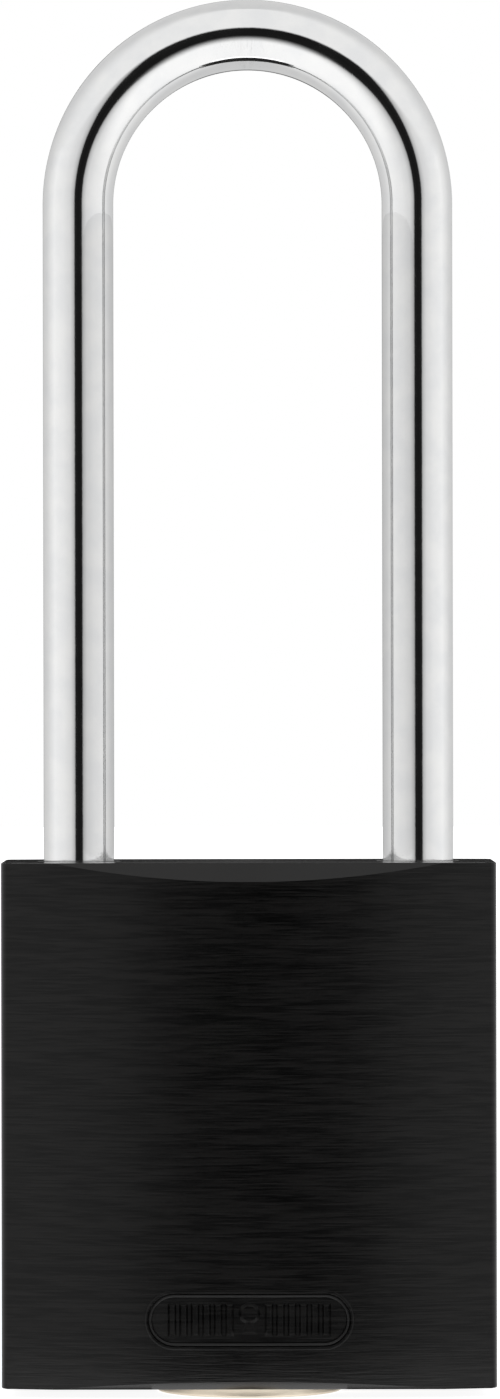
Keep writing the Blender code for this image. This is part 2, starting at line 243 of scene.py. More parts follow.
def new_group(name, inputs, outputs):
    """An empty shader group with named sockets, and its two end nodes."""
    group = bpy.data.node_groups.new(name, "ShaderNodeTree")
    for label, kind, value in inputs:
        socket = group.interface.new_socket(label, in_out="INPUT", socket_type=kind)
        if value is not None:
            socket.default_value = value
    for label, kind in outputs:
        group.interface.new_socket(label, in_out="OUTPUT", socket_type=kind)
    return group, group.nodes.new("NodeGroupInput"), group.nodes.new("NodeGroupOutput")


def new_finish(name, roughness, metallic, **sockets):
    """A material with a Principled shader: returns it, its tree, the shader and the Object coordinates."""
    finish = bpy.data.materials.new(name)
    finish.use_nodes = True
    tree = finish.node_tree
    shader = tree.nodes["Principled BSDF"]
    shader.inputs["Roughness"].default_value = roughness
    shader.inputs["Metallic"].default_value = metallic
    for socket, value in sockets.items():
        shader.inputs[socket.replace("_", " ")].default_value = value
    place = tree.nodes.new("ShaderNodeTexCoord")
    return finish, tree, shader, place


def add_effect(tree, place, effect, **values):
    """Put a shader group in a material, on its Object coordinates, with its own values."""
    node = add_node(tree, "ShaderNodeGroup", values, node_tree=effect)
    tree.links.new(place.outputs["Object"], node.inputs["Position"])
    return node


def coat(tree, shader, colour, wear, wear_share, base_roughness, height, depth):
    """Give a shader its colour, a roughness that rises with wear, and a bump of a given depth."""
    tree.links.new(colour, shader.inputs["Base Color"])
    polish = add_maths(tree, "MULTIPLY", wear, wear_share)
    tree.links.new(add_maths(tree, "ADD", polish, base_roughness), shader.inputs["Roughness"])
    bump = add_node(tree, "ShaderNodeBump", {"Strength": 1.0, "Distance": depth, "Height": height})
    tree.links.new(bump.outputs["Normal"], shader.inputs["Normal"])


# Grain drawn out along the axes where Stretch is small: fine lines riding on broader ones.
streaks, streaks_in, streaks_out = new_group(
    "drawn_grain",
    [
        ("Position", "NodeSocketVector", None),
        ("Stretch", "NodeSocketVector", (1000.0, 1000.0, 1000.0)),
    ],
    [("Height", "NodeSocketFloat"), ("Tone", "NodeSocketFloat")],
)
grain_place = add_node(
    streaks,
    "ShaderNodeVectorMath",
    {0: streaks_in.outputs["Position"], 1: streaks_in.outputs["Stretch"]},
    operation="MULTIPLY",
).outputs[0]
fine_grain = add_node(
    streaks, "ShaderNodeTexNoise", {"Vector": grain_place, "Scale": 1.0, "Detail": 3.0, "Roughness": 0.55}
).outputs["Fac"]
broad_place = add_node(
    streaks, "ShaderNodeVectorMath", {0: grain_place, 1: (0.45, 0.45, 0.21)}, operation="MULTIPLY"
).outputs[0]
broad_grain = add_node(
    streaks, "ShaderNodeTexNoise", {"Vector": broad_place, "Scale": 1.0, "Detail": 2.0, "Roughness": 0.5}
).outputs["Fac"]
fine_share = add_maths(streaks, "MULTIPLY", fine_grain, 0.65)
broad_share = add_maths(streaks, "MULTIPLY", broad_grain, 0.35)
all_grain = add_maths(streaks, "ADD", fine_share, broad_share)
streaks.links.new(all_grain, streaks_out.inputs["Height"])
streaks.links.new(add_range(streaks, all_grain, 0.40, 0.60), streaks_out.inputs["Tone"])

# Slow, faint changes of polish that any handled metal has.
smudges, smudges_in, smudges_out = new_group(
    "handled_surface",
    [("Position", "NodeSocketVector", None), ("Spread", "NodeSocketFloat", 200.0)],
    [("Smudge", "NodeSocketFloat")],
)
smudge_noise = add_node(
    smudges,
    "ShaderNodeTexNoise",
    {"Vector": smudges_in.outputs["Position"], "Scale": smudges_in.outputs["Spread"], "Detail": 4.0},
).outputs["Fac"]
smudges.links.new(add_range(smudges, smudge_noise, 0.3, 0.7), smudges_out.inputs["Smudge"])

anodised, tree, shader, place = new_finish("black_anodised_brushed", 0.23, 0.0)
shader.inputs["Specular IOR Level"].default_value = 0.24
shader.inputs["Anisotropic"].default_value = 0.55
shader.inputs["Anisotropic Rotation"].default_value = 0.25
grain = add_effect(tree, place, streaks, Stretch=(260.0, 260.0, 7500.0))
smudge = add_effect(tree, place, smudges, Spread=130.0)
facing = add_node(tree, "ShaderNodeSeparateXYZ", {0: place.outputs["Normal"]})
tilt = add_maths(tree, "ABSOLUTE", facing.outputs["Z"])
brushed_share = add_range(tree, tilt, 0.15, 0.45, 1.0, 0.0)
brushed_height = add_maths(tree, "MULTIPLY", grain.outputs["Height"], brushed_share)
bead_blast = add_node(
    tree, "ShaderNodeTexNoise", {"Vector": place.outputs["Object"], "Scale": 6000.0, "Detail": 2.0}
).outputs["Fac"]
blast_height = add_maths(tree, "MULTIPLY", bead_blast, 0.06)
height = add_maths(tree, "ADD", brushed_height, blast_height)
tone = add_maths(tree, "MULTIPLY", grain.outputs["Tone"], brushed_share)
face_black = add_colours(tree, tone, (0.0001, 0.0001, 0.0001), (0.0048, 0.0046, 0.0044))
cut_black = add_node(tree, "ShaderNodeMix", {0: brushed_share, 7: face_black}, data_type="RGBA")
cut_black.inputs[6].default_value = (0.0110, 0.0108, 0.0106, 1.0)
coat(tree, shader, cut_black.outputs[2], smudge.outputs["Smudge"], 0.04, 0.20, height, 0.00003)


def face_front(x):
    """How far forward the convex front lies at an x."""
    return -HALF_DEPTH + FACE_RADIUS - math.sqrt(FACE_RADIUS**2 - x**2)


def slice_off(bm, point, normal):
    """Cut away everything on the normal's side of a plane, and close the cut."""
    everything = bm.verts[:] + bm.edges[:] + bm.faces[:]
    result = bmesh.ops.bisect_plane(
        bm, geom=everything, plane_co=point, plane_no=normal, clear_outer=True
    )
    edges = [item for item in result["geom_cut"] if isinstance(item, bmesh.types.BMEdge)]
    bmesh.ops.contextual_create(bm, geom=edges)


strips = 90
front = []
for i in range(strips + 1):
    x = HALF_WIDTH * (2 * i / strips - 1)
    front.append((x, face_front(x)))
block = extruded(front + [(-x, -y) for x, y in front], body_low.z, body_high.z)
corners = [
    edge
    for edge in block.edges
    if abs(abs(edge.verts[0].co.x) - HALF_WIDTH) < 1e-6 and edge.verts[0].co.xy == edge.verts[1].co.xy
]
bmesh.ops.bevel(block, geom=corners, offset=CORNER_RADIUS, segments=9, affect="EDGES", profile=0.5)
rims = [edge for edge in block.edges if edge.calc_face_angle(0) > math.radians(80)]
bmesh.ops.bevel(block, geom=rims, offset=RIM_BREAK, segments=3, affect="EDGES", profile=0.5)
facet_slope = BOTTOM_FACET_DEPTH / BOTTOM_FACET_RISE
for side in (-1, 1):
    slice_off(block, (0, side * HALF_DEPTH, body_high.z - TOP_FACET), (0, side, 1))
    slice_off(block, (0, side * HALF_DEPTH, body_low.z + BOTTOM_FACET_RISE), (0, side, -facet_slope))
body = make_piece("lock_block", block)

below, above = body_low.z - 0.001, body_high.z + 0.001
core = [
    (SHELL_BORE + 0.00105, below),
    (SHELL_BORE, body_low.z + 0.00005),
    (SHELL_BORE, SHOULDER),
    (CAM_BORE, SHOULDER),
    (CAM_BORE, cam_high.z + 0.0003),
]
combine(body, turned(core, 128))
tower_slot = half_slot(0, TOWER_END + 0.0003, TOWER_HALF_WIDTH + 0.0003, TOWER_CORNER + 0.0003)
combine(body, extruded(tower_slot, below, SHOULDER + 0.0001))
mouth = [(LEG_BORE, body_high.z - LEAD_IN), (LEG_BORE + LEAD_IN + 0.001, above)]
combine(body, turned([(LEG_BORE, HEEL_BORE_FLOOR)] + mouth, 96, (-LEG_X, 0, 0)))
screw_hole = SCREW_SHANK + 0.0003
toe_bore = [(screw_hole, SHOULDER - 0.001), (screw_hole, TOE_BORE_FLOOR), (LEG_BORE, TOE_BORE_FLOOR)] + mouth
combine(body, turned(toe_bore, 96, (LEG_X, 0, 0)))
combine(body, turned_along_x([(BALL_CHANNEL, -LEG_X), (BALL_CHANNEL, LEG_X)], BALL_LEVEL, 64))


def capsule(half_length, half_height, steps=20):
    """Outline of a straight-sided oval, as (along, up) points."""
    points = []
    for side in (1, -1):
        for i in range(steps + 1):
            angle = math.pi * (i / steps - 0.5) + (0 if side > 0 else math.pi)
            along = side * (half_length - half_height) + half_height * math.cos(angle)
            points.append((along, half_height * math.sin(angle)))
    return points


field = capsule(EMBLEM_HALF_LENGTH, EMBLEM_HALF_HEIGHT)
field_rings = [
    [(x, y, EMBLEM_CENTRE_Z + z) for x, z in field] for y in (-HALF_DEPTH - 0.001, -HALF_DEPTH + 0.002)
]
field_tool = make_piece("field_tool", skin_rings(field_rings))
floor_reach = 0.012
floor_radius = FACE_RADIUS - EMBLEM_FIELD_DEPTH
floor_arc = []
for i in range(61):
    x = floor_reach * (i / 30 - 1)
    floor_arc.append((x, FACE_RADIUS - HALF_DEPTH - math.sqrt(floor_radius**2 - x**2)))
floor_block = extruded(floor_arc + [(floor_reach, 0), (-floor_reach, 0)], 0, 0.02)
floor_tool = combine(field_tool, floor_block)
combine(body, field_tool)
settle(body, anodised)
bpy.data.objects.remove(floor_tool)
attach(body, "lock_body")
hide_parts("body")

# ---------------------------------------------------------------- emblem
# A plain pictogram coined into the front: a doubled oval ridge round a keyhole with a row of upright
# bars on each side. It is part of the block's metal and has the same anodising.

RIDGE = 0.00017
INNER_RIDGE = 0.00012
RIDGE_SPACING = 0.00038
RIDGE_PROUD = 0.00013
BAR_HEIGHT = 0.0026
BAR_WIDTH = 0.00034
BAR_PITCH = 0.00105
BARS_A_SIDE = 6
BAR_PROUD = 0.00024
KEYHOLE_EYE = 0.0010


def new_tree(name, inputs):
    """An empty Geometry Nodes tree with named inputs, and its two end nodes."""
    tree = bpy.data.node_groups.new(name, "GeometryNodeTree")
    tree.interface.new_socket("Geometry", in_out="INPUT", socket_type="NodeSocketGeometry")
    for label, kind in inputs:
        tree.interface.new_socket(label, in_out="INPUT", socket_type=kind)
    tree.interface.new_socket("Geometry", in_out="OUTPUT", socket_type="NodeSocketGeometry")
    return tree, tree.nodes.new("NodeGroupInput"), tree.nodes.new("NodeGroupOutput")


def finish_tree(tree, start, end, geometry):
    """End a tree in Realize Instances and Set Material."""
    real = add_node(tree, "GeometryNodeRealizeInstances", {"Geometry": geometry})
    coated = add_node(
        tree, "GeometryNodeSetMaterial", {"Geometry": real.outputs[0], "Material": start.outputs["Finish"]}
    )
    tree.links.new(coated.outputs[0], end.inputs[0])


def grow(name, tree, values, bm=None):
    """Run a tree on a new object, as a Geometry Nodes modifier."""
    piece = make_piece(name, bm or bmesh.new())
    modifier = piece.modifiers.new("grown", "NODES")
    modifier.node_group = tree
    for item in tree.interface.items_tree:
        if item.in_out == "INPUT" and item.name in values:
            modifier[item.identifier] = values[item.name]
    return piece


emblem_tree, emblem_in, emblem_out = new_tree(
    "coined_emblem",
    [
        ("Half Length", "NodeSocketFloat"),
        ("Half Height", "NodeSocketFloat"),
        ("Ridge", "NodeSocketFloat"),
        ("Inner Ridge", "NodeSocketFloat"),
        ("Ridge Spacing", "NodeSocketFloat"),
        ("Ridge Proud", "NodeSocketFloat"),
        ("Bars", "NodeSocketInt"),
        ("Bar Pitch", "NodeSocketFloat"),
        ("Bar Size", "NodeSocketVector"),
        ("Keyhole Eye", "NodeSocketFloat"),
        ("Face Radius", "NodeSocketFloat"),
        ("Face Front", "NodeSocketFloat"),
        ("Centre Height", "NodeSocketFloat"),
        ("Finish", "NodeSocketMaterial"),
    ],
)


def oval_ridge(tree, half_length, half_height, ridge):
    """A ridge that follows a straight-sided oval, flat in X and Y."""
    length = add_maths(tree, "MULTIPLY", half_length, 2.0)
    width = add_maths(tree, "MULTIPLY", half_height, 2.0)
    oblong = add_node(tree, "GeometryNodeCurvePrimitiveQuadrilateral", {"Width": length, "Height": width})
    round_end = add_maths(tree, "MULTIPLY", half_height, 0.9999)
    oval = add_node(
        tree,
        "GeometryNodeFilletCurve",
        {"Curve": oblong.outputs[0], "Count": 20, "Radius": round_end},
        mode="POLY",
    )
    path = add_node(
        tree, "GeometryNodeResampleCurve", {"Curve": oval.outputs[0], "Length": 0.00025}, mode="LENGTH"
    )
    section = add_node(tree, "GeometryNodeCurvePrimitiveCircle", {"Resolution": 16, "Radius": ridge})
    swept = add_node(
        tree, "GeometryNodeCurveToMesh", {"Curve": path.outputs[0], "Profile Curve": section.outputs[0]}
    )
    return swept.outputs[0]


inner_length = add_maths(
    emblem_tree, "SUBTRACT", emblem_in.outputs["Half Length"], emblem_in.outputs["Ridge Spacing"]
)
inner_height = add_maths(
    emblem_tree, "SUBTRACT", emblem_in.outputs["Half Height"], emblem_in.outputs["Ridge Spacing"]
)
outer_ridge = oval_ridge(
    emblem_tree,
    emblem_in.outputs["Half Length"],
    emblem_in.outputs["Half Height"],
    emblem_in.outputs["Ridge"],
)
inner_ridge = oval_ridge(emblem_tree, inner_length, inner_height, emblem_in.outputs["Inner Ridge"])
bar_size = add_node(emblem_tree, "ShaderNodeSeparateXYZ", {0: emblem_in.outputs["Bar Size"]})
bar = add_node(emblem_tree, "GeometryNodeMeshCube", {"Size": emblem_in.outputs["Bar Size"]})
corner = add_node(
    emblem_tree, "ShaderNodeSeparateXYZ", {0: add_node(emblem_tree, "GeometryNodeInputPosition").outputs[0]}
)
at_foot = add_maths(emblem_tree, "LESS_THAN", corner.outputs["Z"], 0.0)
bevel = add_maths(emblem_tree, "MULTIPLY", bar_size.outputs["Z"], at_foot)
spread = add_vector(
    emblem_tree,
    X=add_maths(emblem_tree, "MULTIPLY", bevel, add_maths(emblem_tree, "SIGN", corner.outputs["X"])),
    Y=add_maths(emblem_tree, "MULTIPLY", bevel, add_maths(emblem_tree, "SIGN", corner.outputs["Y"])),
)
bevelled_bar = add_node(
    emblem_tree, "GeometryNodeSetPosition", {"Geometry": bar.outputs["Mesh"], "Offset": spread}
)
bar_sink = add_vector(emblem_tree, Z=add_maths(emblem_tree, "MULTIPLY", bar_size.outputs["Z"], -0.5))
sunk_bar = add_node(
    emblem_tree, "GeometryNodeTransform", {"Geometry": bevelled_bar.outputs[0], "Translation": bar_sink}
)
bars = []
for side in (-1, 1):
    gap = add_maths(emblem_tree, "MULTIPLY", emblem_in.outputs["Bar Pitch"], side * 1.70)
    step = add_maths(emblem_tree, "MULTIPLY", emblem_in.outputs["Bar Pitch"], side * 1.0)
    first = add_vector(emblem_tree, X=gap)
    stride = add_vector(emblem_tree, X=step)
    row = add_node(
        emblem_tree,
        "GeometryNodeMeshLine",
        {"Count": emblem_in.outputs["Bars"], "Start Location": first, "Offset": stride},
    )
    placed = add_node(
        emblem_tree,
        "GeometryNodeInstanceOnPoints",
        {"Points": row.outputs[0], "Instance": sunk_bar.outputs[0]},
    )
    bars.append(placed.outputs[0])
eye_bevel = add_maths(emblem_tree, "MULTIPLY", bar_size.outputs["Z"], 0.65)
eye_top = add_maths(emblem_tree, "SUBTRACT", emblem_in.outputs["Keyhole Eye"], eye_bevel)
eye = add_node(
    emblem_tree,
    "GeometryNodeMeshCone",
    {
        "Vertices": 40,
        "Radius Top": eye_top,
        "Radius Bottom": emblem_in.outputs["Keyhole Eye"],
        "Depth": bar_size.outputs["Z"],
    },
)
eye_rise = add_maths(emblem_tree, "MULTIPLY", emblem_in.outputs["Keyhole Eye"], 0.62)
eye_sink = add_maths(emblem_tree, "MULTIPLY", bar_size.outputs["Z"], -0.5)
eye_place = add_vector(emblem_tree, Y=eye_rise, Z=eye_sink)
placed_eye = add_node(
    emblem_tree, "GeometryNodeTransform", {"Geometry": eye.outputs["Mesh"], "Translation": eye_place}
)
skirt = add_node(
    emblem_tree,
    "GeometryNodeMeshCone",
    {"Vertices": 3, "Radius Top": 0.50, "Radius Bottom": 1.0, "Depth": 1.0},
)
skirt_width = add_maths(emblem_tree, "MULTIPLY", emblem_in.outputs["Keyhole Eye"], 0.95)
skirt_height = add_maths(emblem_tree, "MULTIPLY", emblem_in.outputs["Keyhole Eye"], 1.25)
skirt_size = add_vector(emblem_tree, X=skirt_height, Y=skirt_width, Z=bar_size.outputs["Z"])
skirt_drop = add_maths(emblem_tree, "MULTIPLY", emblem_in.outputs["Keyhole Eye"], -0.72)
skirt_place = add_vector(emblem_tree, Y=skirt_drop, Z=eye_sink)
placed_skirt = add_node(
    emblem_tree,
    "GeometryNodeTransform",
    {
        "Geometry": skirt.outputs["Mesh"],
        "Translation": skirt_place,
        "Rotation": (0, 0, math.pi / 2),
        "Scale": skirt_size,
    },
)
relief = add_node(emblem_tree, "GeometryNodeJoinGeometry")
for part in (outer_ridge, inner_ridge, *bars, placed_eye.outputs[0], placed_skirt.outputs[0]):
    emblem_tree.links.new(part, relief.inputs[0])
lone_relief = add_node(emblem_tree, "GeometryNodeRealizeInstances", {"Geometry": relief.outputs[0]})
where = add_node(emblem_tree, "GeometryNodeInputPosition").outputs[0]
spot = add_node(emblem_tree, "ShaderNodeSeparateXYZ", {0: where})
squared = add_maths(emblem_tree, "MULTIPLY", spot.outputs["X"], spot.outputs["X"])
radius_squared = add_maths(
    emblem_tree, "MULTIPLY", emblem_in.outputs["Face Radius"], emblem_in.outputs["Face Radius"]
)
inward = add_maths(emblem_tree, "SQRT", add_maths(emblem_tree, "SUBTRACT", radius_squared, squared))
sagitta = add_maths(emblem_tree, "SUBTRACT", emblem_in.outputs["Face Radius"], inward)
face_y = add_maths(emblem_tree, "ADD", sagitta, emblem_in.outputs["Face Front"])
proud = add_maths(emblem_tree, "MINIMUM", spot.outputs["Z"], emblem_in.outputs["Ridge Proud"])
wrapped = add_vector(
    emblem_tree,
    X=spot.outputs["X"],
    Y=add_maths(emblem_tree, "SUBTRACT", face_y, proud),
    Z=add_maths(emblem_tree, "ADD", spot.outputs["Y"], emblem_in.outputs["Centre Height"]),
)
on_face = add_node(
    emblem_tree, "GeometryNodeSetPosition", {"Geometry": lone_relief.outputs[0], "Position": wrapped}
)
finish_tree(emblem_tree, emblem_in, emblem_out, on_face.outputs[0])

emblem = grow(
    "front_emblem",
    emblem_tree,
    {
        "Half Length": EMBLEM_HALF_LENGTH,
        "Half Height": EMBLEM_HALF_HEIGHT,
        "Ridge": RIDGE,
        "Inner Ridge": INNER_RIDGE,
        "Ridge Spacing": RIDGE_SPACING,
        "Ridge Proud": RIDGE_PROUD,
        "Bars": BARS_A_SIDE,
        "Bar Pitch": BAR_PITCH,
        "Bar Size": (BAR_WIDTH, BAR_HEIGHT, 2 * BAR_PROUD),
        "Keyhole Eye": KEYHOLE_EYE,
        "Face Radius": FACE_RADIUS,
        "Face Front": -HALF_DEPTH,
        "Centre Height": EMBLEM_CENTRE_Z,
        "Finish": anodised,
    },
)
settle(emblem, anodised)
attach(emblem, "lock_body")

# ---------------------------------------------------------------- shackle
# One round steel rod, bent cold into a U, then turned at the heel for the groove that keeps it in the
# lock, notched on the inside of both legs for the balls, and plated with bright chrome.

BOW_CENTRE = shackle_high.z - ROD_RADIUS - LEG_X
LIFT = 0.0125
HEEL_END = shackle_low.z
TOE_END = 0.0374
END_ROUND = 0.0009
NECK_RADIUS = 0.0025
NECK_CENTRE = BALL_LEVEL - LIFT
NECK_HALF = 0.0021
NECK_SLOPE = 0.0004
BALL_X = ball_low.x + BALL_RADIUS
TOE_BALL_TRAVEL = 0.0030
HEEL_BALL_TRAVEL = 0.0009

chrome, tree, shader, place = new_finish("bright_chrome_plate", 0.055, 1.0)
haze = add_effect(tree, place, smudges, Spread=420.0).outputs["Smudge"]
plating = add_colours(tree, haze, (0.790, 0.795, 0.800), (0.845, 0.845, 0.840))
ripple = add_node(
    tree,
    "ShaderNodeTexNoise",
    {"Vector": place.outputs["Object"], "Scale": 900.0, "Detail": 3.0, "Roughness": 0.6},
).outputs["Fac"]
pits = add_node(
    tree, "ShaderNodeTexVoronoi", {"Vector": place.outputs["Object"], "Scale": 2600.0}
).outputs["Distance"]
pit_depth = add_range(tree, pits, 0.0, 0.16, -0.35, 0.0)
height = add_maths(tree, "ADD", ripple, pit_depth)
coat(tree, shader, plating, haze, 0.035, 0.045, height, 0.0000035)

rod_tree, rod_in, rod_out = new_tree(
    "bent_rod",
    [
        ("Bend Radius", "NodeSocketFloat"),
        ("Bend Steps", "NodeSocketInt"),
        ("Sides", "NodeSocketInt"),
        ("Finish", "NodeSocketMaterial"),
    ],
)
line = add_node(rod_tree, "GeometryNodeMeshToCurve", {"Mesh": rod_in.outputs["Geometry"]})
bent = add_node(
    rod_tree,
    "GeometryNodeFilletCurve",
    {
        "Curve": line.outputs[0],
        "Count": rod_in.outputs["Bend Steps"],
        "Radius": rod_in.outputs["Bend Radius"],
    },
    mode="POLY",
)
thickness = add_node(rod_tree, "GeometryNodeInputNamedAttribute", {"Name": "rod_radius"}, data_type="FLOAT")
section = add_node(
    rod_tree, "GeometryNodeCurvePrimitiveCircle", {"Resolution": rod_in.outputs["Sides"], "Radius": 1.0}
)
rod = add_node(
    rod_tree,
    "GeometryNodeCurveToMesh",
    {
        "Curve": bent.outputs[0],
        "Profile Curve": section.outputs[0],
        "Scale": thickness.outputs["Attribute"],
        "Fill Caps": True,
    },
)
finish_tree(rod_tree, rod_in, rod_out, rod.outputs[0])

heel_profile = rounded(
    [
        (0.0016, HEEL_END),
        (ROD_RADIUS, HEEL_END + 0.00001),
        (ROD_RADIUS, NECK_CENTRE - NECK_HALF - NECK_SLOPE),
        (NECK_RADIUS, NECK_CENTRE - NECK_HALF),
        (NECK_RADIUS, NECK_CENTRE + NECK_HALF),
        (ROD_RADIUS, NECK_CENTRE + NECK_HALF + NECK_SLOPE),
        (ROD_RADIUS, BALL_LEVEL),
    ],
    END_ROUND,
    6,
)
toe_profile = rounded(
    [(ROD_RADIUS, BALL_LEVEL), (ROD_RADIUS, TOE_END + 0.00001), (0.0014, TOE_END)], END_ROUND, 6
)
corner_z = BOW_CENTRE + LEG_X
chain = [((-LEG_X, 0, z), r) for r, z in heel_profile]
chain += [((-LEG_X, 0, corner_z), ROD_RADIUS), ((LEG_X, 0, corner_z), ROD_RADIUS)]
chain += [((LEG_X, 0, z), r) for r, z in toe_profile]
rod_line = bmesh.new()
radius_layer = rod_line.verts.layers.float.new("rod_radius")
previous = None
for point, radius in chain:
    vertex = rod_line.verts.new(point)
    vertex[radius_layer] = radius
    if previous:
        rod_line.edges.new((previous, vertex))
    previous = vertex
shackle = grow(
    "shackle_rod",
    rod_tree,
    {"Bend Radius": LEG_X, "Bend Steps": 96, "Sides": 72, "Finish": chrome},
    rod_line,
)


def ball_track(x, travel, inward):
    """The room a ball needs in a leg as the shackle rises and the ball draws back."""
    radius = BALL_RADIUS + 0.00015
    start = Vector((x, 0, BALL_LEVEL))
    end = Vector((x + inward * travel, 0, BALL_LEVEL - LIFT))
    along = (end - start).normalized()
    up = along.cross(Vector((0, 1, 0)))
    rings = []
    for base, sign in ((start, -1), (end, 1)):
        ends = []
        for degrees in range(6, 91, 7):
            angle = math.radians(degrees)
            centre = base + sign * along * radius * math.cos(angle)
            ring = []
            for i in range(48):
                turn = 2 * math.pi * i / 48
                spoke = math.cos(turn) * Vector((0, 1, 0)) + math.sin(turn) * up
                ring.append(centre + radius * math.sin(angle) * spoke)
            ends.append(ring)
        rings += ends if sign < 0 else ends[::-1]
    return skin_rings(rings)


combine(shackle, ball_track(-BALL_X, HEEL_BALL_TRAVEL, 1))
combine(shackle, ball_track(BALL_X, TOE_BALL_TRAVEL, -1))
settle(shackle, chrome)
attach(shackle, "shackle")
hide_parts("shackle")

# ---------------------------------------------------------------- cylinder housing and chamber cover
# Turned and milled brass: a round shell with a tower of five pin chambers on one side. It goes in from
# below and stands slightly proud. A brass strip pressed into the tower closes the chambers.

EDGE = 0.00022
HEAD_SEAT = 0.00705
HEAD_SEAT_TOP = 0.00185
PLUG_BORE = 0.0061
CHAMBER_RADIUS = 0.0015
CHAMBER_START = 0.0030
THREAD_HOLE_LOW = 0.0249
THREAD_HOLE_HIGH = 0.0310
COVER_SEAT_HALF_WIDTH = 0.0025
STRIP_EDGE_BREAK = 0.00006
PIN_COUNT = 5
cover_low, cover_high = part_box("pin_chamber_cover")
COVER_SEAT = cover_low.x - 0.0003
pin_levels = []
for number in range(1, PIN_COUNT + 1):
    low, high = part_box(f"key_pin_{number}")
    pin_levels.append((low.z + high.z) / 2)

# Fine rings left by the tool, about the piece's own upright axis.
lathe, lathe_in, lathe_out = new_group(
    "lathe_marks",
    [("Position", "NodeSocketVector", None), ("Marks", "NodeSocketFloat", 9000.0)],
    [("Height", "NodeSocketFloat"), ("Tone", "NodeSocketFloat")],
)
spread = add_node(lathe, "ShaderNodeSeparateXYZ", {0: lathe_in.outputs["Position"]})
flat = add_vector(lathe, X=spread.outputs["X"], Y=spread.outputs["Y"])
from_axis = add_node(lathe, "ShaderNodeVectorMath", {0: flat}, operation="LENGTH").outputs["Value"]
travel = add_maths(lathe, "ADD", from_axis, spread.outputs["Z"])
marks = add_maths(lathe, "MULTIPLY", travel, lathe_in.outputs["Marks"])
ring_noise = add_node(
    lathe,
    "ShaderNodeTexNoise",
    {"W": marks, "Scale": 1.0, "Detail": 3.0, "Roughness": 0.7},
    noise_dimensions="1D",
).outputs["Fac"]
slow_marks = add_maths(lathe, "MULTIPLY", marks, 0.13)
slow_noise = add_node(
    lathe, "ShaderNodeTexNoise", {"W": slow_marks, "Scale": 1.0, "Detail": 1.0}, noise_dimensions="1D"
).outputs["Fac"]
lathe.links.new(ring_noise, lathe_out.inputs["Height"])
lathe.links.new(add_range(lathe, slow_noise, 0.35, 0.65), lathe_out.inputs["Tone"])


def turned_metal(name, dark, light, roughness, marks, depth, turn=(0.0, 0.0, 0.0), centre=(0.0, 0.0, 0.0)):
    """A turned metal: lathe rings about an axis, with slow changes of tint and polish."""
    finish, tree, shader, place = new_finish(name, roughness, 1.0)
    mapping = add_node(tree, "ShaderNodeMapping", {"Vector": place.outputs["Object"]}, vector_type="TEXTURE")
    mapping.inputs["Location"].default_value = centre
    mapping.inputs["Rotation"].default_value = turn
    rings = add_node(tree, "ShaderNodeGroup", {}, node_tree=lathe)
    tree.links.new(mapping.outputs[0], rings.inputs["Position"])
    rings.inputs["Marks"].default_value = marks
    haze = add_effect(tree, place, smudges, Spread=350.0).outputs["Smudge"]
    blended = add_maths(tree, "MULTIPLY", rings.outputs["Tone"], 0.5)
    tint = add_maths(tree, "ADD", blended, add_maths(tree, "MULTIPLY", haze, 0.5))
    lines = rings.outputs["Height"]
    coat(tree, shader, add_colours(tree, tint, dark, light), lines, 0.12, roughness - 0.06, lines, depth)
    return finish


shell_brass = turned_metal(
    "turned_pale_brass", (0.86, 0.75, 0.60), (0.95, 0.86, 0.71), 0.40, 9000.0, 0.000004
)

shell_face = SHELL_RADIUS - 0.001
shell_profile = [(shell_face, 0), (SHELL_RADIUS, 0), (SHELL_RADIUS, shell_high.z), (shell_face, shell_high.z)]
housing = make_piece("cylinder_shell", turned(rounded(shell_profile, EDGE), 160))
tower = half_slot(0, TOWER_END, TOWER_HALF_WIDTH, TOWER_CORNER)
tower_bottom = body_low.z + 0.0005
combine(housing, extruded(tower, tower_bottom, shell_high.z - 0.0001), "UNION")
plug_bore = [
    (HEAD_SEAT + 0.0011, -0.001),
    (HEAD_SEAT, 0.0001),
    (HEAD_SEAT, HEAD_SEAT_TOP),
    (PLUG_BORE, HEAD_SEAT_TOP),
    (PLUG_BORE, shell_high.z - 0.0002),
    (PLUG_BORE + 0.0012, shell_high.z + 0.001),
]
combine(housing, turned(plug_bore, 128))
cover_seat = half_slot(COVER_SEAT, TOWER_END + 0.001, COVER_SEAT_HALF_WIDTH, 0.0001)
combine(housing, extruded(cover_seat, cover_low.z - 0.0003, cover_high.z + 0.0003))
for level in pin_levels:
    chamber = [(CHAMBER_RADIUS, CHAMBER_START), (CHAMBER_RADIUS, TOWER_END + 0.001)]
    combine(housing, turned_along_x(chamber, level, 40))
screw_thread = SCREW_SHANK + 0.00015
thread_hole = [(screw_thread, THREAD_HOLE_LOW), (screw_thread, THREAD_HOLE_HIGH)]
combine(housing, turned(thread_hole, 48, (LEG_X, 0, 0)))
settle(housing, shell_brass)
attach(housing, "lock_body")
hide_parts("cylinder_housing")

cover_outline = half_slot(cover_low.x, cover_high.x, cover_high.y, 0.0001)
cover = make_piece("chamber_strip", extruded(cover_outline, cover_low.z, cover_high.z))


def break_edges(piece):
    """Take the sharpness off a stamped strip's edges."""
    edge_break = piece.modifiers.new("edge_break", "BEVEL")
    edge_break.width = STRIP_EDGE_BREAK
    edge_break.segments = 2
    edge_break.limit_method = "ANGLE"
    edge_break.angle_limit = math.radians(60)


break_edges(cover)
settle(cover, shell_brass)
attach(cover, "lock_body")
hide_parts("pin_chamber_cover")

# ---------------------------------------------------------------- plug and clip
# The turned brass plug that the key turns: a head sunk in the housing's face, a warded keyway, five pin
# holes, and a drive slot at its top. A sprung steel clip in its groove keeps it in.

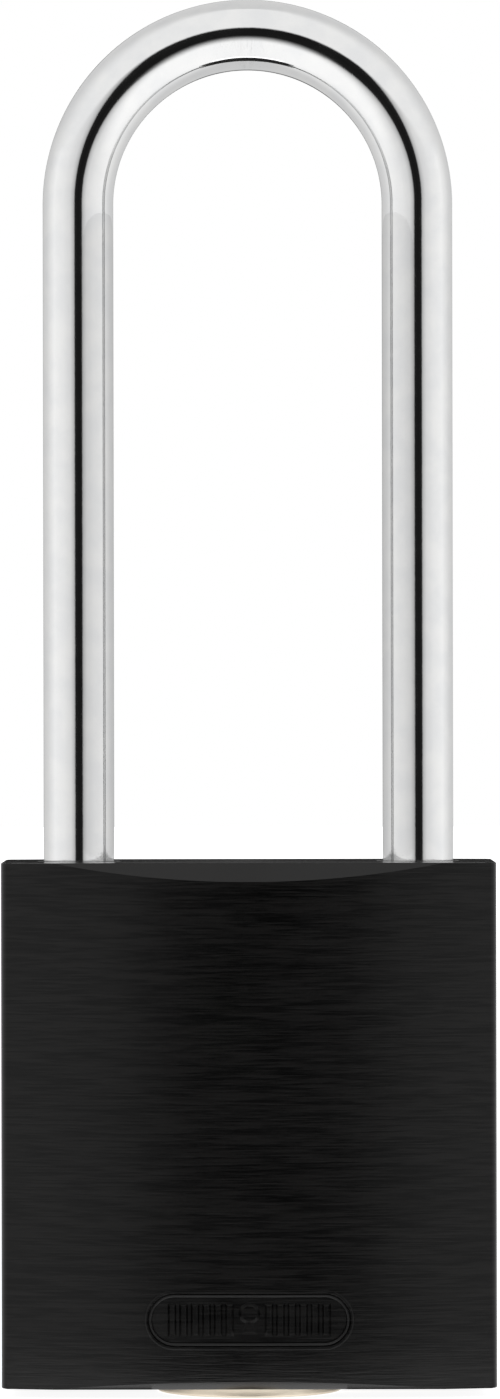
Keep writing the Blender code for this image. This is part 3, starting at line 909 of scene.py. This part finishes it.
plug_low, plug_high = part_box("plug")
clip_low, clip_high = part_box("plug_clip")
HEAD_RADIUS = 0.0069
HEAD_TOP = 0.0016
PLUG_RADIUS = PLUG_BORE - 0.0001
GROOVE_LOW = clip_low.z - 0.00015
GROOVE_HIGH = clip_high.z + 0.00015
GROOVE_RADIUS = 0.0049
HOLE_FLOOR = 0.0006
KEYWAY_TOP = 0.0260
DRIVE_SLOT_FLOOR = 0.0293
DRIVE_SLOT_HALF_LENGTH = 0.0070
DRIVE_SLOT_HALF_WIDTH = 0.0013

plug_brass = turned_metal(
    "turned_plug_brass", (0.70, 0.50, 0.26), (0.80, 0.61, 0.35), 0.24, 11000.0, 0.000004
)
plug_profile = rounded(
    [
        (0.0040, plug_low.z),
        (HEAD_RADIUS, plug_low.z),
        (HEAD_RADIUS, HEAD_TOP),
        (PLUG_RADIUS, HEAD_TOP),
        (PLUG_RADIUS, GROOVE_LOW),
        (GROOVE_RADIUS, GROOVE_LOW),
        (GROOVE_RADIUS, GROOVE_HIGH),
        (PLUG_RADIUS, GROOVE_HIGH),
        (PLUG_RADIUS, plug_high.z),
        (0.0040, plug_high.z),
    ],
    0.00012,
)
plug = make_piece("key_plug", turned(plug_profile, 128))


def oblong_outline(half_length, half_width):
    """Outline of a rectangle about the middle."""
    return [
        (-half_length, -half_width),
        (half_length, -half_width),
        (half_length, half_width),
        (-half_length, half_width),
    ]


half, ward = 0.0008, 0.0002
keyway = [
    (-0.0047, -half),
    (-0.0026, -half),
    (-0.0020, -ward),
    (-0.0004, -ward),
    (0.0002, -half),
    (0.0044, -half),
    (0.0044, half),
    (0.0030, half),
    (0.0024, ward),
    (0.0014, ward),
    (0.0008, half),
    (-0.0047, half),
]


def widened(outline, amount):
    """An outline with every side moved outwards, for a chamfer round a mouth."""
    result = []
    count = len(outline)
    for i in range(count):
        before, here, after = Vector(outline[i - 1]), Vector(outline[i]), Vector(outline[(i + 1) % count])
        first, second = (here - before).normalized(), (after - here).normalized()
        first_out, second_out = Vector((first.y, -first.x)), Vector((second.y, -second.x))
        middle = (first_out + second_out).normalized()
        result.append(tuple(here + middle * amount / middle.dot(first_out)))
    return result


mouth_break = 0.00012
keyway_levels = [
    (widened(keyway, mouth_break * 2), plug_low.z - mouth_break),
    (keyway, plug_low.z + mouth_break),
    (keyway, KEYWAY_TOP),
]
combine(plug, skin_rings([[(x, y, z) for x, y in outline] for outline, z in keyway_levels]))
for level in pin_levels:
    combine(plug, turned_along_x([(CHAMBER_RADIUS, HOLE_FLOOR), (CHAMBER_RADIUS, 0.0080)], level, 40))
slot_outline = oblong_outline(DRIVE_SLOT_HALF_LENGTH, DRIVE_SLOT_HALF_WIDTH)
combine(plug, extruded(slot_outline, DRIVE_SLOT_FLOOR, plug_high.z + 0.001))
settle(plug, plug_brass)
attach(plug, "plug")
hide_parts("plug")

spring_steel, tree, shader, place = new_finish("drawn_spring_steel", 0.30, 1.0)
grain = add_effect(tree, place, streaks, Stretch=(4000.0, 4000.0, 4000.0))
drawn = add_colours(tree, grain.outputs["Tone"], (0.42, 0.41, 0.39), (0.55, 0.54, 0.52))
coat(tree, shader, drawn, grain.outputs["Height"], 0.2, 0.2, grain.outputs["Height"], 0.000003)

CLIP_OPENING = math.radians(50)
clip_inner = GROOVE_RADIUS + 0.00015
clip_outer = clip_high.y
sweep = 2 * math.pi - CLIP_OPENING
clip_angles = [CLIP_OPENING / 2 + sweep * i / 90 for i in range(91)]
clip_outline = [(clip_outer * math.cos(a), clip_outer * math.sin(a)) for a in clip_angles]
clip_outline += [(clip_inner * math.cos(a), clip_inner * math.sin(a)) for a in reversed(clip_angles)]
clip = make_piece("retaining_clip", extruded(clip_outline, clip_low.z, clip_high.z))
break_edges(clip)
settle(clip, spring_steel)
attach(clip, "plug")
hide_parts("plug_clip")

# ---------------------------------------------------------------- pin stacks
# Five brass key pins of different lengths stand in the plug, with five equal driver pins behind them in
# the tower, all turned from rod. A small coil spring presses each driver towards the plug.

PIN_ROUND = 0.00018
PIN_TIP = 0.0002
DRIVER_WAIST_DEPTH = 0.0002
KEY_PIN_POINT = 0.0008
SPRING_WIRE = 0.00018
SPRING_COIL = 0.00105
SPRING_TURNS = 7

along_x = (0.0, math.pi / 2, 0.0)
pin_brass = turned_metal(
    "turned_pin_brass", (0.66, 0.44, 0.19), (0.78, 0.57, 0.29), 0.22, 12000.0, 0.000003, along_x
)

coil_tree, coil_in, coil_out = new_tree(
    "coil_spring",
    [
        ("Wire Radius", "NodeSocketFloat"),
        ("Coil Radius", "NodeSocketFloat"),
        ("Length", "NodeSocketFloat"),
        ("Turns", "NodeSocketFloat"),
        ("End Closing", "NodeSocketFloat"),
        ("Steps", "NodeSocketInt"),
        ("Sides", "NodeSocketInt"),
        ("Turned", "NodeSocketRotation"),
        ("Start", "NodeSocketVector"),
        ("Finish", "NodeSocketMaterial"),
    ],
)
wire_width = add_maths(coil_tree, "MULTIPLY", coil_in.outputs["Wire Radius"], 2.0)
rise = add_maths(coil_tree, "SUBTRACT", coil_in.outputs["Length"], wire_width)
spiral = add_node(
    coil_tree,
    "GeometryNodeCurveSpiral",
    {
        "Resolution": coil_in.outputs["Steps"],
        "Rotations": coil_in.outputs["Turns"],
        "Start Radius": coil_in.outputs["Coil Radius"],
        "End Radius": coil_in.outputs["Coil Radius"],
        "Height": rise,
    },
)
where = add_node(coil_tree, "GeometryNodeInputPosition").outputs[0]
spot = add_node(coil_tree, "ShaderNodeSeparateXYZ", {0: where})
share = add_maths(coil_tree, "DIVIDE", spot.outputs["Z"], rise)
wave = add_maths(coil_tree, "SINE", add_maths(coil_tree, "MULTIPLY", share, 2 * math.pi))
closing = add_maths(coil_tree, "MULTIPLY", rise, coil_in.outputs["End Closing"])
drop = add_maths(coil_tree, "MULTIPLY", add_maths(coil_tree, "MULTIPLY", wave, closing), -1 / (2 * math.pi))
lift = add_maths(coil_tree, "ADD", drop, coil_in.outputs["Wire Radius"])
spaced = add_node(
    coil_tree,
    "GeometryNodeSetPosition",
    {"Geometry": spiral.outputs[0], "Offset": add_vector(coil_tree, Z=lift)},
)
wire = add_node(
    coil_tree,
    "GeometryNodeCurvePrimitiveCircle",
    {"Resolution": coil_in.outputs["Sides"], "Radius": coil_in.outputs["Wire Radius"]},
)
wound = add_node(
    coil_tree,
    "GeometryNodeCurveToMesh",
    {"Curve": spaced.outputs[0], "Profile Curve": wire.outputs[0], "Fill Caps": True},
)
turned_coil = add_node(
    coil_tree,
    "GeometryNodeTransform",
    {
        "Geometry": wound.outputs[0],
        "Translation": coil_in.outputs["Start"],
        "Rotation": coil_in.outputs["Turned"],
    },
)
finish_tree(coil_tree, coil_in, coil_out, turned_coil.outputs[0])

for number, level in enumerate(pin_levels, 1):
    key_low, key_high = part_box(f"key_pin_{number}")
    driver_low, driver_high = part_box(f"driver_pin_{number}")
    spring_low, spring_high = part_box(f"pin_spring_{number}")
    pin_radius = key_high.y
    key_profile = [
        (PIN_TIP, key_low.x),
        (pin_radius - KEY_PIN_POINT, key_low.x),
        (pin_radius, key_low.x + KEY_PIN_POINT),
        (pin_radius, key_high.x),
        (PIN_TIP, key_high.x),
    ]
    key_pin = make_piece(f"key_pin_{number}_turned", turned_along_x(rounded(key_profile, PIN_ROUND), level))
    settle(key_pin, pin_brass)
    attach(key_pin, f"key_pin_{number}")
    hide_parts(f"key_pin_{number}")

    waist = (driver_low.x + driver_high.x) / 2
    driver_profile = [
        (PIN_TIP, driver_low.x),
        (pin_radius, driver_low.x),
        (pin_radius, waist - 0.0008),
        (pin_radius - DRIVER_WAIST_DEPTH, waist - 0.0006),
        (pin_radius - DRIVER_WAIST_DEPTH, waist + 0.0006),
        (pin_radius, waist + 0.0008),
        (pin_radius, driver_high.x),
        (PIN_TIP, driver_high.x),
    ]
    driver_shape = turned_along_x(rounded(driver_profile, PIN_ROUND), level)
    driver = make_piece(f"driver_pin_{number}_turned", driver_shape)
    settle(driver, pin_brass)
    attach(driver, f"driver_pin_{number}")
    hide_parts(f"driver_pin_{number}")

    spring_length = spring_high.x - spring_low.x
    spring = grow(
        f"pin_spring_{number}_coil",
        coil_tree,
        {
            "Wire Radius": SPRING_WIRE,
            "Coil Radius": SPRING_COIL,
            "Length": spring_length,
            "Turns": SPRING_TURNS,
            "End Closing": 0.45,
            "Steps": 24,
            "Sides": 10,
            "Turned": (0, math.pi / 2, 0),
            "Start": (spring_low.x, 0, level),
            "Finish": spring_steel,
        },
    )
    settle(spring, spring_steel)
    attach(spring, "lock_body")
    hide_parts(f"pin_spring_{number}")
    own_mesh(spring)

# ---------------------------------------------------------------- locking cam
# A zinc-plated steel cam above the plug, driven by a tongue in the plug's slot. Its head is scooped on
# two sides, where the balls roll in when the key has turned.

CAM_RADIUS = cam_high.x
CAM_NECK = 0.0041
CAM_FOOT_BOTTOM = 0.0318
CAM_FOOT_TOP = 0.0336
CAM_HEAD_BOTTOM = BALL_LEVEL - BALL_RADIUS - 0.0004
CAM_EDGE = 0.0003
TONGUE_HALF_LENGTH = 0.0038
TONGUE_HALF_WIDTH = 0.00105

zinc, tree, shader, place = new_finish("zinc_plated_steel", 0.34, 1.0)
frost = add_effect(tree, place, streaks, Stretch=(1500.0, 1500.0, 1500.0)).outputs["Height"]
crystals = add_node(tree, "ShaderNodeTexVoronoi", {"Vector": place.outputs["Object"], "Scale": 1400.0})
spangle = add_node(tree, "ShaderNodeSeparateXYZ", {0: crystals.outputs["Color"]}).outputs["X"]
plating = add_colours(tree, spangle, (0.47, 0.48, 0.49), (0.60, 0.61, 0.61))
coat(tree, shader, plating, frost, 0.25, 0.22, frost, 0.000006)


def cam_reach(angle):
    """Cam radius at an angle: full, or cut back where a ball rolls in as the key turns."""
    clear = BALL_RADIUS + 0.00008
    reach = CAM_RADIUS
    steps = 60
    for side_angle, travel in ((0.0, TOE_BALL_TRAVEL), (math.pi, HEEL_BALL_TRAVEL)):
        for i in range(steps + 1):
            part = i / steps
            distance = BALL_X - travel * part
            off = angle - (side_angle - math.pi / 2 * part)
            sideways = distance * math.sin(off)
            if math.cos(off) > 0 and abs(sideways) < clear:
                near = distance * math.cos(off) - math.sqrt(clear**2 - sideways**2)
                reach = min(reach, near)
    return reach


cam_sides = 180
cam_angles = [2 * math.pi * i / cam_sides for i in range(cam_sides)]
cam_head = [cam_reach(angle) for angle in cam_angles]
soft = CAM_EDGE * 0.3
cam_levels = [
    ([CAM_RADIUS - CAM_EDGE] * cam_sides, CAM_FOOT_BOTTOM),
    ([CAM_RADIUS - soft] * cam_sides, CAM_FOOT_BOTTOM + soft),
    ([CAM_RADIUS] * cam_sides, CAM_FOOT_BOTTOM + CAM_EDGE),
    ([CAM_RADIUS] * cam_sides, CAM_FOOT_TOP),
    ([CAM_NECK + 0.0002] * cam_sides, CAM_FOOT_TOP),
    ([CAM_NECK] * cam_sides, CAM_FOOT_TOP + 0.0002),
    ([CAM_NECK] * cam_sides, CAM_HEAD_BOTTOM),
    (cam_head, CAM_HEAD_BOTTOM),
    (cam_head, cam_high.z - CAM_EDGE),
    ([r - soft for r in cam_head], cam_high.z - soft),
    ([r - CAM_EDGE for r in cam_head], cam_high.z),
]
cam_rings = []
for radii, z in cam_levels:
    cam_rings.append([(r * math.cos(a), r * math.sin(a), z) for r, a in zip(radii, cam_angles)])
cam = make_piece("scooped_cam", skin_rings(cam_rings))
tongue = oblong_outline(TONGUE_HALF_LENGTH, TONGUE_HALF_WIDTH)
combine(cam, extruded(tongue, cam_low.z, CAM_FOOT_BOTTOM + 0.0008), "UNION")
settle(cam, zinc)
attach(cam, "locking_cam")
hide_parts("locking_cam")

# ---------------------------------------------------------------- locking balls
# Two hard steel bearing balls, ground and lapped bright, in the cross channel between the cam and the
# notches of the legs.

ball_steel, tree, shader, place = new_finish("lapped_ball_steel", 0.09, 1.0)
haze = add_effect(tree, place, smudges, Spread=900.0).outputs["Smudge"]
lapped = add_colours(tree, haze, (0.58, 0.58, 0.59), (0.66, 0.66, 0.66))
lapping = add_node(
    tree, "ShaderNodeTexNoise", {"Vector": place.outputs["Object"], "Scale": 5000.0, "Detail": 2.0}
).outputs["Fac"]
coat(tree, shader, lapped, haze, 0.08, 0.06, lapping, 0.0000008)

for name, side, body_name in (("heel", -1, "heel_ball"), ("toe", 1, "toe_ball")):
    sphere = bmesh.new()
    centre = Matrix.Translation((side * BALL_X, 0, BALL_LEVEL))
    bmesh.ops.create_icosphere(sphere, subdivisions=5, radius=BALL_RADIUS, matrix=centre)
    ball = make_piece(f"{name}_bearing_ball", sphere)
    settle(ball, ball_steel)
    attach(ball, body_name)
    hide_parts(f"locking_ball_{name}")

# ---------------------------------------------------------------- cylinder screw
# A black-oxide socket screw, put in down the toe leg's bore when the shackle is open. Its thread holds
# the key cylinder's tower in the block.

SCREW_HEAD = 0.0026
UNDER_HEAD = TOE_BORE_FLOOR + 0.0003
SOCKET_RADIUS = 0.0013
SOCKET_DEPTH = 0.0012
LAST_CREST = 0.0290
THREAD_END = 0.0295

oxide, tree, shader, place = new_finish("black_oxide_steel", 0.42, 1.0)
haze = add_effect(tree, place, smudges, Spread=1500.0).outputs["Smudge"]
blacked = add_colours(tree, haze, (0.035, 0.035, 0.037), (0.075, 0.073, 0.070))
scale_noise = add_node(
    tree, "ShaderNodeTexNoise", {"Vector": place.outputs["Object"], "Scale": 9000.0, "Detail": 3.0}
).outputs["Fac"]
coat(tree, shader, blacked, haze, 0.15, 0.34, scale_noise, 0.000003)

screw_profile = [(SCREW_SHANK - 0.0006, screw_low.z), (SCREW_SHANK, screw_low.z + 0.0004)]
pitch, depth = 0.0005, 0.00012
crest = screw_low.z + 0.0006
while crest + pitch < LAST_CREST:
    screw_profile += [(SCREW_SHANK, crest), (SCREW_SHANK - depth, crest + pitch * 0.4)]
    screw_profile += [(SCREW_SHANK - depth, crest + pitch * 0.55), (SCREW_SHANK, crest + pitch * 0.95)]
    crest += pitch
screw_profile += [(SCREW_SHANK, THREAD_END), (SCREW_SHANK, UNDER_HEAD)]
screw_profile += [(SCREW_HEAD - 0.0001, UNDER_HEAD), (SCREW_HEAD, UNDER_HEAD + 0.0001)]
screw_profile += [(SCREW_HEAD, screw_high.z - 0.00025), (SCREW_HEAD - 0.00008, screw_high.z - 0.00008)]
screw_profile += [(SCREW_HEAD - 0.00025, screw_high.z)]
screw = make_piece("socket_screw", turned(screw_profile, 72, (LEG_X, 0, 0)))
socket = [(SOCKET_RADIUS, screw_high.z - SOCKET_DEPTH), (SOCKET_RADIUS, screw_high.z + 0.001)]
combine(screw, turned(socket, 6, (LEG_X, 0, 0)))
settle(screw, oxide)
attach(screw, "lock_body")
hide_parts("cylinder_screw")

# ---------------------------------------------------------------- ejection spring
# A steel compression spring in the heel leg's bore. It stands on the bore's floor and throws the
# shackle up when the balls let go, opening out as it does; here it is made at one length.

eject_low, eject_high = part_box("ejection_spring")
eject_length = eject_high.z - eject_low.z
EJECT_WIRE = 0.0004
EJECT_COIL = 0.0023
ejector = grow(
    "ejection_coil",
    coil_tree,
    {
        "Wire Radius": EJECT_WIRE,
        "Coil Radius": EJECT_COIL,
        "Length": eject_length,
        "Turns": 8,
        "End Closing": 0.3,
        "Steps": 36,
        "Sides": 14,
        "Turned": (0, 0, 0),
        "Start": (-LEG_X, 0, eject_low.z),
        "Finish": spring_steel,
    },
)
settle(ejector, spring_steel)
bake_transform(ejector)
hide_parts("ejection_spring")

# ---------------------------------------------------------------- floor, light and camera
# A white table in a white light tent. The tent has one dark slit, where the camera looks in, and a
# narrow one behind. The lock stands on the face of its key cylinder.

scene = bpy.context.scene
scene.view_settings.view_transform = "Standard"

table_top = bmesh.new()
bmesh.ops.create_circle(table_top, cap_ends=True, segments=96, radius=3.0)
table = make_piece("table", table_top)
table_white = bpy.data.materials.new("white_table")
table_white.use_nodes = True
tree = table_white.node_tree
shader = tree.nodes["Principled BSDF"]
shader.inputs["Base Color"].default_value = (0.60, 0.60, 0.60, 1.0)
shader.inputs["Roughness"].default_value = 0.9
shader.inputs["Specular IOR Level"].default_value = 0.0
shader.inputs["Emission Color"].default_value = (1.0, 1.0, 1.0, 1.0)
shader.inputs["Emission Strength"].default_value = 0.92
see_through = tree.nodes.new("ShaderNodeBsdfTransparent")
underneath = tree.nodes.new("ShaderNodeNewGeometry")
choice = add_node(tree, "ShaderNodeMixShader", {0: underneath.outputs["Backfacing"]})
tree.links.new(shader.outputs[0], choice.inputs[1])
tree.links.new(see_through.outputs[0], choice.inputs[2])
tree.links.new(choice.outputs[0], tree.nodes["Material Output"].inputs["Surface"])
table.data.materials.append(table_white)
table.location.z = -0.00002
table.visible_glossy = False

# Cards that only reflections see brighten or shade what the metal mirrors.
STRIP_GLOW = 1.8
SHADE_GLOW = 0.08
LIP_GLOW = 0.05
LIP_SHARE = 0.8
SHADE_SHEET_SHARE = 0.13
SLIT_TURN = math.radians(1.9)


def unseen_card(name, corners, shader_kind, light, share):
    """A card that only reflections see: part of what is behind it shows through."""
    bm = bmesh.new()
    bm.faces.new([bm.verts.new(corner) for corner in corners])
    card = make_piece(name, bm)
    paper = bpy.data.materials.new(name)
    paper.use_nodes = True
    tree = paper.node_tree
    tree.nodes.clear()
    face = add_node(tree, shader_kind, {"Color": (light, light, light, 1.0)})
    clear = add_node(tree, "ShaderNodeBsdfTransparent")
    mix = add_node(tree, "ShaderNodeMixShader", {0: share, 1: clear.outputs[0], 2: face.outputs[0]})
    output = tree.nodes.new("ShaderNodeOutputMaterial")
    tree.links.new(mix.outputs[0], output.inputs["Surface"])
    card.data.materials.append(paper)
    card.visible_camera = False
    card.visible_diffuse = False
    card.visible_shadow = False


# Painted reflection: a glowing strip on the table in front of the lock, seen only in reflections, stands in
# for the bright table there.
front_edge, back_edge = -SHELL_RADIUS - 0.0025, -SHELL_RADIUS - 0.0155
strip_corners = [(-0.03, back_edge, 0), (0.03, back_edge, 0), (0.03, front_edge, 0), (-0.03, front_edge, 0)]
unseen_card("painted_reflection_strip", strip_corners, "ShaderNodeEmission", STRIP_GLOW, 1.0)
# Painted shadow: dim cards on the table under the block, beside the key cylinder, seen only in reflections,
# stand in for the block's shadow there.
for side in (-1, 1):
    near, far = side * (SHELL_RADIUS + 0.0004), side * HALF_WIDTH
    shade_corners = [(near, -0.0082, 0), (far, -0.0082, 0), (far, 0.0082, 0), (near, 0.0082, 0)]
    unseen_card(f"shade_{side}", shade_corners, "ShaderNodeEmission", SHADE_GLOW, 1.0)
# Painted shadow under the block's front lip, in front of the key cylinder, seen only in reflections.
front_near, front_far = -SHELL_RADIUS - 0.0002, -HALF_DEPTH
lip_corners = [
    (-HALF_WIDTH, front_far, 0),
    (HALF_WIDTH, front_far, 0),
    (HALF_WIDTH, front_near, 0),
    (-HALF_WIDTH, front_near, 0),
]
unseen_card("shade_front", lip_corners, "ShaderNodeEmission", LIP_GLOW, LIP_SHARE)
# Painted shade: a faint dark sheet upright between the legs, seen only in reflections, darkens what the
# chrome mirrors across the middle.
shade_sheet_corners = [(0, -0.2, body_high.z), (0, 0.2, body_high.z), (0, 0.2, BOW_CENTRE), (0, -0.2, BOW_CENTRE)]
unseen_card("painted_shade_sheet", shade_sheet_corners, "ShaderNodeEmission", 0.0, SHADE_SHEET_SHARE)

tent = bpy.data.worlds.new("light_tent")
scene.world = tent
tent.use_nodes = True
tree = tent.node_tree
tree.nodes.clear()
direction = tree.nodes.new("ShaderNodeTexCoord")
way = add_node(tree, "ShaderNodeSeparateXYZ", {0: direction.outputs["Generated"]})
towards_camera = add_maths(tree, "MULTIPLY", way.outputs["Y"], -1.0)
turn = add_maths(tree, "ARCTAN2", way.outputs["X"], towards_camera)
bearing = add_maths(tree, "ABSOLUTE", add_maths(tree, "SUBTRACT", turn, SLIT_TURN))
climb = add_maths(tree, "ARCSINE", way.outputs["Z"])
wall = tree.nodes.new("ShaderNodeValToRGB")
wall_stops = [
    (0.0, 0.010),
    (10.8, 0.015),
    (13.8, 0.45),
    (17.0, 0.60),
    (26.0, 0.80),
    (50.0, 0.94),
    (85.0, 1.04),
    (122.0, 0.78),
    (165.0, 0.62),
]
ramp = wall.color_ramp
while len(ramp.elements) < len(wall_stops):
    ramp.elements.new(0.5)
for stop, (degrees, brightness) in zip(ramp.elements, wall_stops):
    stop.position = degrees / 180.0
for stop, (degrees, brightness) in zip(ramp.elements, wall_stops):
    stop.color = (brightness, brightness, brightness, 1.0)
tree.links.new(add_maths(tree, "DIVIDE", bearing, math.pi), wall.inputs["Fac"])
rear_bearing = add_range(tree, bearing, math.radians(168), math.radians(172))
rear_climb = add_range(tree, climb, math.radians(12), math.radians(20), 1.0, 0.0)
rear_slit = add_maths(tree, "MULTIPLY", rear_bearing, rear_climb)
wall_light = add_maths(tree, "MULTIPLY", wall.outputs["Color"], add_maths(tree, "SUBTRACT", 1.0, rear_slit))
above_foot = add_range(tree, climb, math.radians(-28.0), math.radians(-5.0))
below_head = add_range(tree, climb, math.radians(17.0), math.radians(22.5), 1.0, 0.0)
band = add_maths(tree, "MULTIPLY", above_foot, below_head)
roof_light = add_range(tree, bearing, math.radians(60), math.radians(150), 0.97, 0.72)
table_light = add_range(tree, bearing, math.radians(60), math.radians(150), 1.14, 0.70)
upward = add_range(tree, climb, math.radians(-4), math.radians(4))
roof_part = add_maths(tree, "MULTIPLY", roof_light, upward)
table_part = add_maths(tree, "MULTIPLY", table_light, add_maths(tree, "SUBTRACT", 1.0, upward))
open_light = add_maths(tree, "ADD", roof_part, table_part)
outside_band = add_maths(tree, "MULTIPLY", open_light, add_maths(tree, "SUBTRACT", 1.0, band))
inside_band = add_maths(tree, "MULTIPLY", wall_light, band)
tent_light = add_maths(tree, "ADD", inside_band, outside_band)
seen = add_node(tree, "ShaderNodeLightPath")
plain = add_node(tree, "ShaderNodeBackground", {"Color": (1.0, 1.0, 1.0, 1.0), "Strength": 1.0})
shaped = add_node(tree, "ShaderNodeBackground", {"Color": (1.0, 1.0, 1.0, 1.0), "Strength": tent_light})
backdrop = add_node(tree, "ShaderNodeMixShader", {0: seen.outputs["Is Camera Ray"]})
tree.links.new(shaped.outputs[0], backdrop.inputs[1])
tree.links.new(plain.outputs[0], backdrop.inputs[2])
output = tree.nodes.new("ShaderNodeOutputWorld")
tree.links.new(backdrop.outputs[0], output.inputs["Surface"])

CAMERA_DISTANCE = 0.680
CAMERA_HEIGHT = 0.0637
CAMERA_ASIDE = 0.00016
lens = bpy.data.cameras.new("camera")
lens.sensor_width = 36.0
lens.lens = 189.5
lens.clip_start = 0.01
lens.clip_end = 20.0
camera = bpy.data.objects.new("camera", lens)
camera.location = (CAMERA_ASIDE, -CAMERA_DISTANCE, CAMERA_HEIGHT)
camera.rotation_euler = (math.pi / 2, math.radians(0.1), 0)
scene.collection.objects.link(camera)
scene.camera = camera
